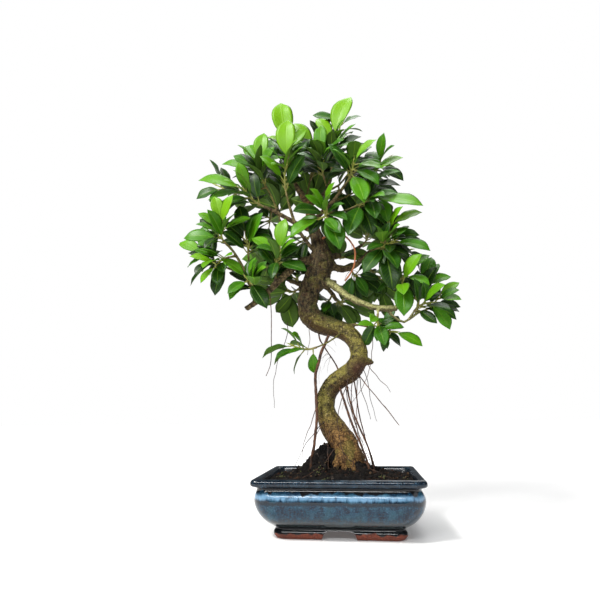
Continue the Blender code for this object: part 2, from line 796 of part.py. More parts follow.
def set_tries(tip):
    """Tips and rolls to try for a leaf whose tip is set, the best first."""
    for roll in (0, 14, -14, 28, -28, 45, -45):
        for shift in ((0, 0, 0), (0, -4, 0), (0, 4, 0), (0, 0, 5), (0, 0, -5), (5, 0, 0), (-5, 0, 0)):
            yield place(tip) + Vector(shift), roll


def end_tries(centre, direction, length):
    """Tips and rolls to try for the leaf that ends a stem."""
    for attempt in range(24):
        aim = direction + 0.02 * attempt * direction.orthogonal().normalized()
        yield centre + aim.normalized() * length * (0.95 - 0.01 * attempt), 37 * attempt


def spiral_tries(number, count, length, turn, centre, direction):
    """Tips and rolls to try for a leaf of the spiral round a stem."""
    across = direction.orthogonal().normalized()
    opening = 66 - 26 * number / count
    for attempt in range(48):
        swing = (attempt + 1) // 2 * (-1) ** attempt * 13
        lean = math.radians(opening + (0, 14, -14)[attempt % 3])
        radial = Quaternion(direction, math.radians(turn + GOLDEN_TURN * number + swing)) @ across
        aim = direction * math.cos(lean) + radial * math.sin(lean)
        reach = length * (1 - 0.12 * (attempt // 16)) * (0.95 + 0.1 * math.sin(2.3 * number))
        yield centre + aim * reach, (0, 18, -18)[attempt // 2 % 3]


def settle_leaves(name, stem, space):
    """Finds a free place for each leaf of a shoot: (stretch of stem, side, sections, tip) for each."""
    centres, directions, rings = stem
    count, length, turn, set_tips = SHOOTS[name][3:]
    face_turn = FACE_TURN.get(name, 0)
    leaves = []
    for stretch in range(count + 1, 0, -1):
        order = count + 1 - stretch
        at_end = order == 0
        if at_end:
            centre = centres[-1]
        else:
            centre = (centres[stretch] + centres[stretch + 1]) / 2
        if order < len(set_tips):
            tries = set_tries(set_tips[order])
        elif at_end:
            tries = end_tries(centre, directions[-1], length)
        else:
            tries = spiral_tries(order, count, length, turn, centre, directions[stretch])
        for tip, roll in tries:
            roll += face_turn
            side, base = 0, centre
            if not at_end:
                side, base = leaf_base(rings[stretch], rings[stretch + 1], tip - centre)
            if space.is_free(*leaf_surface(base, tip, roll, LEAF_CLEARANCE), name):
                space.add(*leaf_surface(base, tip, roll, 0))
                leaves.append((stretch, side, leaf_sections(base, tip, roll), tip))
                break
    return leaves


def grow_leaf(bm, loop, sections, tip):
    """Replaces an open four-point loop of the stem with a leaf that grows out of it."""
    first = sections[0]
    shift = min(range(4), key=lambda s: sum((loop[i].co - first[(i + s) % 4]).length for i in range(4)))
    low = loop
    for section in sections:
        high = [bm.verts.new(section[(i + shift) % 4]) for i in range(4)]
        for i in range(4):
            j = (i + 1) % 4
            bm.faces.new((low[i], low[j], high[j], high[i]))
        low = high
    point = bm.verts.new(tip)
    for i in range(4):
        bm.faces.new((low[i], low[(i + 1) % 4], point))


def build_shoot(name, stem, leaves, material):
    bm = bmesh.new()
    loops = loft(bm, stem[2])
    for stretch, side, sections, tip in leaves:
        if stretch + 1 == len(loops):
            corners = loops[-1]
        else:
            low, high, after = loops[stretch], loops[stretch + 1], (side + 1) % 4
            corners = [low[side], low[after], high[after], high[side]]
        bm.faces.remove(bm.faces.get(corners))
        grow_leaf(bm, corners, sections, tip)
    return new_object(name, bm, material)


def centre_on_origin():
    """Hangs everything under one empty that puts the middle of the plant's plan on the origin."""
    bpy.context.view_layer.update()
    graph = bpy.context.evaluated_depsgraph_get()
    shown = [thing for thing in bpy.data.objects if thing.type == "MESH" and not thing.hide_render]
    corners = [Vector(corner) for thing in shown for corner in thing.evaluated_get(graph).bound_box]
    middle_x = (min(c.x for c in corners) + max(c.x for c in corners)) / 2
    middle_y = (min(c.y for c in corners) + max(c.y for c in corners)) / 2
    plant = bpy.data.objects.new("plant", None)
    bpy.context.scene.collection.objects.link(plant)
    for thing in list(bpy.data.objects):
        if thing is not plant:
            thing.parent = plant
    plant.location = (-middle_x, -middle_y, 0)


def main():
    clear_scene()
    materials = {
        "glaze": new_material("blue_glaze", (0.03, 0.12, 0.22), 0.15, coat=0.6),
        "plastic": new_material("black_plastic", (0.02, 0.02, 0.02), 0.5),
        "soil": new_material("dark_soil", (0.025, 0.018, 0.014), 0.95),
        "bark": new_material("olive_bark", (0.20, 0.16, 0.07), 0.8),
        "twig": new_material("brown_twig", (0.25, 0.17, 0.09), 0.75),
        "root": new_material("red_root", (0.22, 0.08, 0.04), 0.75),
        "leaf": new_material("green_leaf", (0.07, 0.25, 0.03), 0.35),
    }
    build_pot(materials)
    build_screens(materials)
    soil = build_soil(materials)
    low_left = branch_routes("branch_low_left")[0][0]
    around_low_left = tube(low_left, route_sides(low_left), GAP)
    cutters = {
        "trunk": new_helper("trunk_clearance", tube(trunk_route(), TRUNK_SIDES, GAP)),
        "branch_low_left": new_helper("branch_low_left_clearance", around_low_left),
    }
    combine(soil, cutters["trunk"], "DIFFERENCE")
    for number, centre in enumerate(drain_places(), 1):
        bm = bmesh.new()
        side = SCREEN_SIDE + 2 * GAP
        box(bm, centre + Vector((0, 0, FLOOR_TOP)), (side, side, 2 * (SCREEN_THICKNESS + 2 * GAP)))
        combine(soil, new_helper(f"screen_recess_{number}", bm), "DIFFERENCE")
    build_wood("trunk", materials["bark"], None)
    for name in BRANCHES:
        build_wood(name, materials["twig"], cutters["trunk"])
    build_roots(materials, cutters, soil)

    bpy.context.view_layer.update()
    graph = bpy.context.evaluated_depsgraph_get()
    space = Space()
    for thing in bpy.data.objects:
        if not thing.hide_render:
            space.add_object(thing, graph)
    stems = {name: shoot_stem(name) for name in SHOOTS}
    for name, (centres, directions, rings) in stems.items():
        bm = bmesh.new()
        loft(bm, rings)
        points = [vertex.co.copy() for vertex in bm.verts]
        bm.verts.index_update()
        space.add(points, [[vertex.index for vertex in face.verts] for face in bm.faces], name)
        bm.free()
    for name, stem in stems.items():
        build_shoot(name, stem, settle_leaves(name, stem, space), materials["leaf"])
    centre_on_origin()


main()
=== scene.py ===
"""A ficus bonsai in a glazed pot: its looks, made around the fixed frame of its pieces.

Lengths are in metres. Each operator makes one piece or a group of like pieces; main calls them in order.
"""

import heapq
import math
import random

import bmesh
import bpy
import numpy as np
from mathutils import Matrix, Quaternion, Vector, noise
from mathutils.bvhtree import BVHTree
from mathutils.kdtree import KDTree


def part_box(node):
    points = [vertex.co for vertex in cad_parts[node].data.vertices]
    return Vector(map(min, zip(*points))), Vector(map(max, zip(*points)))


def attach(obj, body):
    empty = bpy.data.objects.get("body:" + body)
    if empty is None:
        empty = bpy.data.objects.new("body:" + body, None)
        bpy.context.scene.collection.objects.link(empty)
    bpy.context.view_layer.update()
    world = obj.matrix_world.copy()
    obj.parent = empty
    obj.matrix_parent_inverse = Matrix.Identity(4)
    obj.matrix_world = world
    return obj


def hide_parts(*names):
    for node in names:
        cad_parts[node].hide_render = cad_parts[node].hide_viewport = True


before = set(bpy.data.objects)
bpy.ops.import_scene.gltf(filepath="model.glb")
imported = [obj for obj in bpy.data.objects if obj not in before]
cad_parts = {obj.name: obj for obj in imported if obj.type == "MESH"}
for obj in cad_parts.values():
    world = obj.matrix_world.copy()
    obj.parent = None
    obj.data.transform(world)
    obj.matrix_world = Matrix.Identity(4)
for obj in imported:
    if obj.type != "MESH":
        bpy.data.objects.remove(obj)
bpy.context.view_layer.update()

bl_info = {
    "name": "Ficus bonsai in a glazed pot",
    "version": (1, 0, 0),
    "blender": (4, 5, 0),
    "location": "View3D > Sidebar > Bonsai",
    "description": "Makes the looks of a potted bonsai around the frame of its pieces",
    "category": "Add Mesh",
}

MM = 0.001
# Where noise is read for a push along X, Y and Z, so that the three differ
NOISE_APART = (Vector((9.3, 0, 0)), Vector((0, 31.7, 0)), Vector((0, 0, 57.1)))
POT_LOW, POT_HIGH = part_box("pot")
POT_HALF = (POT_HIGH - POT_LOW) / 2
POT_MIDDLE = Vector(((POT_LOW.x + POT_HIGH.x) / 2, (POT_LOW.y + POT_HIGH.y) / 2, 0))
SHOOTS = sorted(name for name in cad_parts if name.startswith("shoot_"))
WOOD = sorted(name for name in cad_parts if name.split("_")[0] in ("trunk", "branch", "twig"))
ROOTS = sorted(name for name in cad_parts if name.startswith("root_"))

# The pot's outline from the foot's outer edge up over the rim and down its inside:
# inset from the rim's edge, height and corner radius, in millimetres
POT_OUTSIDE = (
    (21.2, 0, 8), (20.5, 0.2, 8), (19.4, 0.9, 8), (17.6, 3.2, 9), (17.1, 4.6, 9), (17.4, 6.2, 9),
    (18.4, 7.8, 9), (18.6, 8.9, 9.2), (17, 10.3, 11), (13.6, 12.2, 14), (9.6, 15, 16.5), (6, 18.8, 18.5),
    (3.2, 23, 20), (1.4, 27.5, 20.5), (0.8, 31, 20), (0.9, 34.2, 18.5), (1.8, 37.4, 16), (3.2, 40, 12.5),
    (4.2, 41.8, 10),
    (4.4, 43.2, 8.5), (3.4, 44.2, 7.2), (1.5, 44.9, 6.4), (0.4, 45.8, 6), (0, 47.2, 5.6), (0.3, 49, 5.3),
    (1.2, 50.4, 5), (2.5, 51, 4.6), (4.6, 51, 4), (5.9, 50.6, 4), (6.8, 49.4, 4.4),
)
POT_INSIDE = ((7.4, 46, 7), (8, 41, 12), (6.7, 33, 15), (8.5, 25.5, 15), (15.5, 17.5, 12), (24, 14.5, 8))
POT_UNDERSIDE = ((27.5, 0, 6), (28, 7.5, 6), (30.5, 8.5, 6))
ARCHES = ((15.5, 7.4, False), (13, 7.4, True))  # half width, height, runs along X
DRAIN_HOLE = 6  # radius
DRAIN_PLACE = 28  # from the pot's middle, along X
SOIL_SIDES = ((25, 15.2), (17, 18.2), (9.5, 26.2), (8.4, 33), (8.6, 40), (8.1, 43.5))  # inset and height
SOIL_EDGE = (7.9, 44)
SOIL_ROWS = 56
SOIL_MARGIN = 10 * MM  # loose bits lie at least this far inside the rim's outline
LOOSE_FIBRES = 70
MOSS_CLUMP = 7  # bits in each clump

# Hair-thin roots: radius at the start, and points in millimetres from the middle of the pot's foot
HAIR_ROOTS = (
    (0.35, ((30, -6, 196), (36, -4, 189), (37, -6, 173), (33, -8, 151), (24, -8, 130), (13, -6, 115))),
    (0.4, ((19, -6, 149), (22, -6, 143), (25, -8, 126), (29, -10, 112), (31, -12, 101))),
    (0.45, ((20, -5, 148), (20, -4, 141), (19, -4, 119), (18, -4, 104), (18, -6, 81), (20, -12, 66))),
    (0.3, ((-50, -6, 200), (-52, 0, 184), (-62, 0, 158), (-66, 0, 137), (-65, 0, 113))),
    (0.3, ((-8, -10, 92), (-10, -14, 81), (-10, -20, 68), (-8, -34, 57))),
    (0.3, ((2, -12, 76), (8, -16, 66), (14, -20, 61), (11, -30, 56), (7, -40, 53))),
    (0.35, ((-12, -5, 100), (-22, -8, 90), (-32, -9, 78), (-38, -12, 66), (-44, -16, 54))),
    (0.35, ((-19, -8, 118), (-27, -10, 96), (-33, -13, 80), (-35, -16, 62))),
    (0.4, ((14, -9, 150), (9, -12, 132), (3, -14, 116), (0, -16, 98), (2, -17, 80), (6, -20, 64))),
    (0.4, ((16, -10, 143), (14, -13, 120), (17, -15, 98), (22, -18, 78), (26, -24, 62))),
    (0.35, ((6, 4, 139), (10, 7, 118), (16, 8, 96), (24, 10, 74), (30, 12, 56))),
    (0.35, ((-12, 13, 112), (-20, 18, 94), (-28, 20, 76), (-32, 24, 58))),
    (0.3, ((28, -4, 160), (34, -8, 150), (46, -12, 134), (52, -14, 126))),
    (0.3, ((24, 4, 158), (30, 10, 140), (33, 12, 118), (38, 14, 98))),
    (0.3, ((-24, -4, 205), (-27, -9, 192), (-26, -12, 178), (-29, -14, 164))),
    (0.35, ((24, -14, 62), (29, -21, 57), (37, -26, 53), (44, -27, 50), (50, -24, 48))),
    (0.3, ((-4, -14, 74), (-13, -20, 62), (-24, -26, 54), (-33, -34, 50))),
)
# Surface roots that spread from the foot of the trunk: radius, and points as above
FOOT_ROOTS = (
    (5.6, ((10, -8, 66), (15, -15, 56), (22, -22, 47))),
    (5.0, ((16, -2, 66), (24, -4, 56), (33, -6, 46))),
    (4.6, ((2, -10, 68), (-3, -17, 58), (-8, -24, 48))),
    (5.0, ((0, 2, 70), (-9, 4, 62), (-18, 6, 52))),
    (4.6, ((10, 10, 66), (14, 18, 56), (20, 26, 46))),
    (4.0, ((2, 9, 68), (-3, 17, 58), (-9, 24, 48))),
)
# Stub of a cut branch on the outside of the bend, and a small knob over it: radius at each point
STUBS = (
    ((24, -4, 158, 6.5), (30, -4, 157, 5.2), (33.5, -4.5, 156.2, 3.8), (35.5, -5, 155.7, 2.6)),
    ((20, -8, 152, 5), (22, -12, 150, 3.6), (23, -14, 149, 1.6)),
    ((-27, -3, 226, 6), (-31, -9, 228, 4), (-33, -12, 229, 2)),
    ((-12, -6, 258, 7), (-10, -12, 261, 4.6), (-9, -15, 262, 2.4)),
    ((-22, 10, 241, 7), (-24, 17, 243, 4.4), (-25, 19, 244, 2)),
)
SWELL = 0.42 * MM  # how far the bark's skin starts outside the frame's wood, which helps to close its gaps
SCAR = (22, -11, 150)  # where the stub of the bend was cut
SCAR_REACH = 11 * MM
SLIM_ROOT = 0.8 * MM  # roots of a smaller radius taper more and have fewer rootlets
HAIR_ROOT_MOST = 0.48  # largest radius of a hair root
RING_GAP = 2.4 * MM  # points of a root that are farther apart than this belong to different rings

# Ends of small inner shoots on the branches, in millimetres from the middle of the pot's foot
TUFTS = (
    (14, 14, 456), (66, 22, 397), (-142, 22, 380), (-40, 24, 300), (23, 26, 257), (9, 18, 356), (6, 30, 280),
    (-44, 28, 260), (-12, 28, 226), (-10, 22, 446), (60, 26, 340), (84, 24, 283), (-76, 26, 328),
)
# How young each shoot's end leaves are, from 0 to 1
YOUTH = {
    "shoot_top_left": 0.95, "shoot_top_left_front": 0.85, "shoot_top_mid_left": 0.6,
    "shoot_top_mid": 0.45, "shoot_top_right": 0.9, "shoot_top_right_outer": 0.55,
    "shoot_right_upper_tip": 0.8, "shoot_left_light": 0.4, "shoot_left_far": 1.0, "shoot_left_front": 0.7,
    "shoot_right_mid_high": 0.75, "shoot_right_fork": 0.85, "shoot_right_upper": 0.35,
    "shoot_left_upper": 0.4, "shoot_back_top": 0.7, "shoot_back_left_high": 0.5,
}
USUAL_YOUTH = 0.22
INNER_LEAVES = 9
INNER_LEAF = 34 * MM  # length

# A leaf: half its width and the rise of its bow, both over its length, and the parts of its midrib
LEAF_SLIMNESS = 0.205
LEAF_BOW = 0.07
LEAF_PARTS = (("heel", 0.16), ("middle", 0.46), ("upper", 0.78))
# Half width of the blade along it, as shares of its length and of the widest
LEAF_OUTLINE = (
    (0.0, 0.03), (0.05, 0.2), (0.12, 0.44), (0.22, 0.7), (0.34, 0.9), (0.48, 1.0), (0.62, 0.98), (0.74, 0.84),
    (0.83, 0.61), (0.9, 0.36), (0.95, 0.16), (1.0, 0.01),
)
RIB = 0.1  # half width of the midrib, as a share of the blade's
KEEL = 1.4  # how much thicker the blade is under its midrib at the heel
BUD = (0.95, 1, 0.95, 0.88, 0.75, 0.6, 0.42, 0.22, 0.08)  # radii along the bud at a shoot's end
ACROSS = (-1, -0.72, -0.4, -RIB, RIB, 0.4, 0.72, 1)
LIGHT_SIDE = Vector((0, -0.8, 0.6))  # leaves at the front turn their faces this way
BACK = POT_MIDDLE.y + 30 * MM  # behind this, leaves face the light at the back
TRIES = 14  # directions that are tried for a leaf
LEAF_TURN = 2.4  # radians from each try to the next
SHADE_NEAR = 4 * MM  # leaves from here
SHADE_FAR = 70 * MM  # to here towards the light shade a place
SHADE_WIDTH = 16 * MM
SHADE_MOST = 6

# Lamps: what each is aimed at and its place from there, in metres, then its size, watts and colour
CROWN = Vector((-0.02, 0, 0.3))
BELLY = Vector((0, 0, 0.03))
LAMPS = (
    ("key", CROWN, (-0.7, -0.75, 0.95), (0.35, 0.35), 31, (1, 0.985, 0.96)),
    ("fill", CROWN, (1.0, -0.6, 0.3), (0.7, 0.7), 2.5, (0.96, 0.98, 1)),
    ("top", CROWN, (0.1, 0.15, 0.95), (0.6, 0.6), 8, (1, 1, 1)),
    ("rim", CROWN, (0.35, 0.95, 0.5), (0.8, 0.8), 3.5, (1, 1, 1)),
    ("strip", BELLY, (-0.15, -0.85, 0.62), (0.6, 0.06), 4.5, (1, 1, 1)),
)
FLOOR_REACH = 6.0


def at(x, y, z):
    """A place given in millimetres from the middle of the pot's foot."""
    return POT_MIDDLE + Vector((x, y, z)) * MM


def clamped(value):
    return min(1, max(0, value))


# ---------------------------------------------------------------- materials


class Field:
    """A value, colour or vector that varies over a surface. Arithmetic on a value adds Math nodes."""

    def __init__(self, paint, socket):
        self.paint = paint
        self.socket = socket

    def maths(self, operation, *operands):
        sockets = dict(zip(("Value", "Value_001", "Value_002"), operands))
        return self.paint.node("ShaderNodeMath", {"operation": operation}, sockets)["Value"]

    def __add__(self, other):
        return self.maths("ADD", self, other)

    def __radd__(self, other):
        return self.maths("ADD", other, self)

    def __sub__(self, other):
        return self.maths("SUBTRACT", self, other)

    def __rsub__(self, other):
        return self.maths("SUBTRACT", other, self)

    def __mul__(self, other):
        return self.maths("MULTIPLY", self, other)

    def __rmul__(self, other):
        return self.maths("MULTIPLY", other, self)

    def __truediv__(self, other):
        return self.maths("DIVIDE", self, other)

    def __rtruediv__(self, other):
        return self.maths("DIVIDE", other, self)

    def __abs__(self):
        return self.maths("ABSOLUTE", self)

    def sine(self):
        return self.maths("SINE", self)

    def most(self, other):
        return self.maths("MAXIMUM", self, other)

    def rise(self, low, high):
        """0 below low and 1 above high, with a smooth step between them. It falls if low is above high."""
        if low > high:
            return 1 - self.rise(high, low)
        sockets = {"Value": self, "From Min": low, "From Max": high}
        return self.paint.node("ShaderNodeMapRange", {"interpolation_type": "SMOOTHSTEP"}, sockets)["Result"]

    def band(self, low, high, soft):
        """1 between low and high, with soft edges."""
        return self.rise(low - soft, low + soft) * self.rise(high + soft, high - soft)


class Paint:
    """A material, whose nodes are all added by one method."""

    def __init__(self, name, **constants):
        self.material = bpy.data.materials.new(name)
        self.material.use_nodes = True
        self.tree = self.material.node_tree
        self.shader = self.tree.nodes["Principled BSDF"]
        for key, value in constants.items():
            self.shader.inputs[key.replace("_", " ").title().replace("Ior", "IOR")].default_value = value

    def node(self, kind, settings=None, sockets=None):
        """Adds a node, sets it up, fills or links its inputs and returns its outputs by identifier."""
        made = self.tree.nodes.new(kind)
        for name, value in (settings or {}).items():
            if name == "stops":
                self.set_stops(made.color_ramp, value)
            else:
                setattr(made, name, value)
        for key, value in (sockets or {}).items():
            socket = next(one for one in made.inputs if one.identifier == key)
            self.feed(socket, value)
        return {socket.identifier: Field(self, socket) for socket in made.outputs}

    def set_stops(self, ramp, stops):
        while len(ramp.elements) < len(stops):
            ramp.elements.new(1)
        for element, (position, colour) in zip(ramp.elements, stops):
            element.position = position
            element.color = (*colour, 1)

    def feed(self, socket, value):
        if isinstance(value, Field):
            self.tree.links.new(value.socket, socket)
        elif socket.type == "RGBA":
            socket.default_value = (*value[:3], 1)
        else:
            socket.default_value = value

    def set(self, name, value):
        self.feed(self.shader.inputs[name], value)

    def place(self):
        return self.node("ShaderNodeTexCoord")["Object"]

    def scaled(self, vector, scale):
        sockets = {"Vector": vector, "Vector_001": scale}
        return self.node("ShaderNodeVectorMath", {"operation": "MULTIPLY"}, sockets)["Vector"]

    def moved(self, vector, push, amount):
        """The vector pushed aside by a colour or vector that varies, times amount."""
        sockets = {"Vector": push, "Vector_001": (amount,) * 3, "Vector_002": vector}
        return self.node("ShaderNodeVectorMath", {"operation": "MULTIPLY_ADD"}, sockets)["Vector"]

    def height(self, vector):
        return self.node("ShaderNodeSeparateXYZ", None, {"Vector": vector})["Z"]

    def upward(self):
        """How far the surface faces up, from -1 to 1."""
        normal = self.node("ShaderNodeNewGeometry")["Normal"]
        return self.node("ShaderNodeSeparateXYZ", None, {"Vector": normal})["Z"]

    def grain(self, vector, size, detail=4, roughness=0.55, distortion=0.0, output="Fac"):
        """Noise whose lumps are about size across."""
        sockets = {
            "Vector": vector,
            "Scale": 1 / size,
            "Detail": detail,
            "Roughness": roughness,
            "Distortion": distortion,
        }
        return self.node("ShaderNodeTexNoise", None, sockets)[output]

    def cells(self, vector, size, feature="F1", output="Distance"):
        sockets = {"Vector": vector, "Scale": 1 / size}
        return self.node("ShaderNodeTexVoronoi", {"feature": feature}, sockets)[output]

    def value(self, name):
        """A value that the mesh holds at each of its points."""
        return self.node("ShaderNodeAttribute", {"attribute_name": name})["Fac"]

    def blend(self, share, first, second):
        sockets = {"Factor_Float": share, "A_Color": first, "B_Color": second}
        return self.node("ShaderNodeMix", {"data_type": "RGBA"}, sockets)["Result_Color"]

    def ramp(self, value, *stops):
        return self.node("ShaderNodeValToRGB", {"stops": stops}, {"Fac": value})["Color"]

    def relief(self, height, depth, strength=1.0):
        """Feeds the shader's normal with bumps that are depth high where height goes from 0 to 1."""
        sockets = {"Height": height, "Distance": depth, "Strength": strength}
        self.set("Normal", self.node("ShaderNodeBump", None, sockets)["Normal"])


def glaze_paint(settings):
    """Run blue glaze: light on the shoulder, brown drips in the groove and bare clay at the foot."""
    paint = Paint("blue_run_glaze", coat_roughness=0.05, ior=1.5, specular_ior_level=0.3)
    place = paint.place()
    wander = paint.grain(place, 0.016, detail=3, output="Color")
    warped = paint.moved(place, wander, 0.004)
    height = (paint.height(warped) - 0.002) / MM
    level = paint.height(place) / MM
    streaks = paint.grain(paint.scaled(place, (1, 1, 0.22)), 0.0035, detail=5, roughness=0.65)
    drips = paint.grain(paint.scaled(place, (1, 1, 0.03)), 0.0075, detail=1, roughness=0.4)
    specks = paint.grain(place, 0.0007, detail=3, roughness=0.7)
    clouds = paint.grain(place, 0.011, detail=4)

    mottle = streaks * 0.2 + specks * 0.5 + clouds * 0.3
    teal = paint.blend(mottle.rise(0.45, 0.6), settings.belly_dark, settings.belly_light)
    teal = paint.blend(clouds.rise(0.45, 0.75) * 0.55, teal, settings.belly_cloud)
    olive = paint.blend(specks.rise(0.4, 0.65), settings.hem_dark, settings.hem_light)
    colour = paint.blend((height + (streaks - 0.5) * 9).rise(21, 12.5), teal, olive)
    navy_line = (height + (clouds - 0.5) * 3).band(30.2, 33.4, 1.2)
    colour = paint.blend(navy_line * (0.6 + 0.5 * streaks), colour, settings.rim_colour)
    sky = (height + (streaks - 0.5) * 4).band(34.6, 38.4, 1.4)
    colour = paint.blend(sky * streaks.rise(0.2, 0.55), colour, settings.shoulder_colour)
    drip_edge = level + (drips - 0.5) * 12
    colour = paint.blend(drip_edge.rise(39.2, 40.6), colour, settings.drip_colour)
    rim = paint.blend((specks * 0.8 + clouds * 0.3).rise(0.56, 0.72), settings.rim_colour, settings.rim_light)
    colour = paint.blend(level.rise(43.4, 45.2), colour, rim)
    worn = level.band(49.9, 50.8, 0.3) * clouds.rise(0.35, 0.6)
    colour = paint.blend(worn * 0.35, colour, settings.hem_light)
    inside = level.rise(50.2, 49.4) * paint.value("inside")
    colour = paint.blend(inside * 0.85, colour, settings.drip_colour)
    sparkle = specks.rise(0.62, 0.72) * level.rise(42, 38)
    colour = paint.blend(sparkle * 0.4, colour, settings.speck_colour)
    foot_line = (level + (clouds - 0.5) * 2).band(7.6, 10.8, 0.9)
    colour = paint.blend(foot_line, colour, settings.foot_colour)
    colour = paint.blend((level + (streaks - 0.5) * 2).rise(8.2, 7.2), colour, settings.foot_colour)
    clay_edge = level + (drips - 0.5) * 7 + (specks - 0.5) * 0.8
    bare = clay_edge.rise(5.4, 4.5).most(paint.value("bare"))
    clay = paint.blend(specks.rise(0.35, 0.7), settings.clay_dark, settings.clay_light)
    clay = paint.blend(clouds.rise(0.5, 0.7) * 0.5, clay, settings.clay_dark)
    paint.set("Base Color", paint.blend(bare, colour, clay))
    paint.set("Roughness", 0.06 + 0.09 * specks + 0.04 * sky + bare * 0.55 + inside * 0.4)
    paint.set("Coat Weight", 0.2 - bare * 0.2)
    pits = paint.cells(place, 0.0016).rise(0.0, 0.18)
    relief = streaks * 0.55 + specks * (0.12 + bare * 0.9) + clouds * 0.5 - (1 - pits) * 0.15
    paint.relief(relief, 0.28 * MM, 0.6)
    return paint.material


def plastic_paint():
    """Black plastic with dust on it."""
    paint = Paint("black_mesh_plastic", ior=1.49)
    place = paint.place()
    dust = paint.grain(place, 0.004, detail=4).rise(0.45, 0.75)
    paint.set("Base Color", paint.blend(dust, (0.012, 0.012, 0.013), (0.05, 0.04, 0.03)))
    paint.set("Roughness", 0.42 + dust * 0.4)
    paint.relief(paint.grain(place, 0.0004, detail=2), 0.00004)
    return paint.material


def soil_paint(settings):
    """Damp peat: near black, with brown fibres and pale grit."""
    paint = Paint("peat_soil", specular_ior_level=0.12)
    place = paint.place()
    lumps = paint.grain(place, 0.004, detail=6, roughness=0.7)
    crumbs = paint.cells(place, 0.0013)
    fibres = paint.grain(paint.scaled(place, (1, 0.18, 1)), 0.0016, detail=3, distortion=1.5)
    colour = paint.blend(lumps.rise(0.35, 0.7), settings.soil_dark, settings.soil_light)
    colour = paint.blend(fibres.rise(0.62, 0.7) * 0.5, colour, settings.fibre_colour)
    grit = paint.cells(place, 0.0024, output="Color")
    chance = paint.node("ShaderNodeSeparateXYZ", None, {"Vector": grit})["X"]
    colour = paint.blend(chance.rise(0.93, 0.95) * crumbs.rise(0.5, 0.2), colour, settings.grit_colour)
    paint.set("Base Color", colour)
    paint.set("Roughness", 0.75 + 0.2 * lumps)
    paint.relief(lumps * 0.8 + crumbs.rise(0, 0.9) * 0.6, 0.0009)
    return paint.material


def moss_paint():
    """Moss, from near black to dull green."""
    paint = Paint("dry_moss")
    place = paint.place()
    tufts = paint.grain(place, 0.0011, detail=5, roughness=0.7)
    paint.set("Base Color", paint.blend(tufts.rise(0.35, 0.7), (0.018, 0.022, 0.006), (0.10, 0.105, 0.028)))
    paint.set("Roughness", 0.85 + 0.1 * tufts)
    paint.relief(tufts, 0.0006)
    return paint.material


def crumb_paint():
    """Bark and peat crumbs, from black to reddish brown. Each crumb holds its own tone."""
    paint = Paint("peat_crumbs", specular_ior_level=0.15)
    place = paint.place()
    fine = paint.grain(place, 0.0012, detail=5, roughness=0.7)
    stops = (
        (0.0, (0.003, 0.0025, 0.002)), (0.66, (0.014, 0.009, 0.006)), (0.9, (0.05, 0.02, 0.01)),
        (1.0, (0.12, 0.08, 0.045)),
    )
    colour = paint.ramp(paint.value("tone"), *stops)
    paint.set("Base Color", paint.blend(fine.rise(0.3, 0.7) * 0.6, colour, (0.008, 0.006, 0.005)))
    paint.set("Roughness", 0.75 + 0.2 * fine)
    paint.relief(fine, 0.0004)
    return paint.material


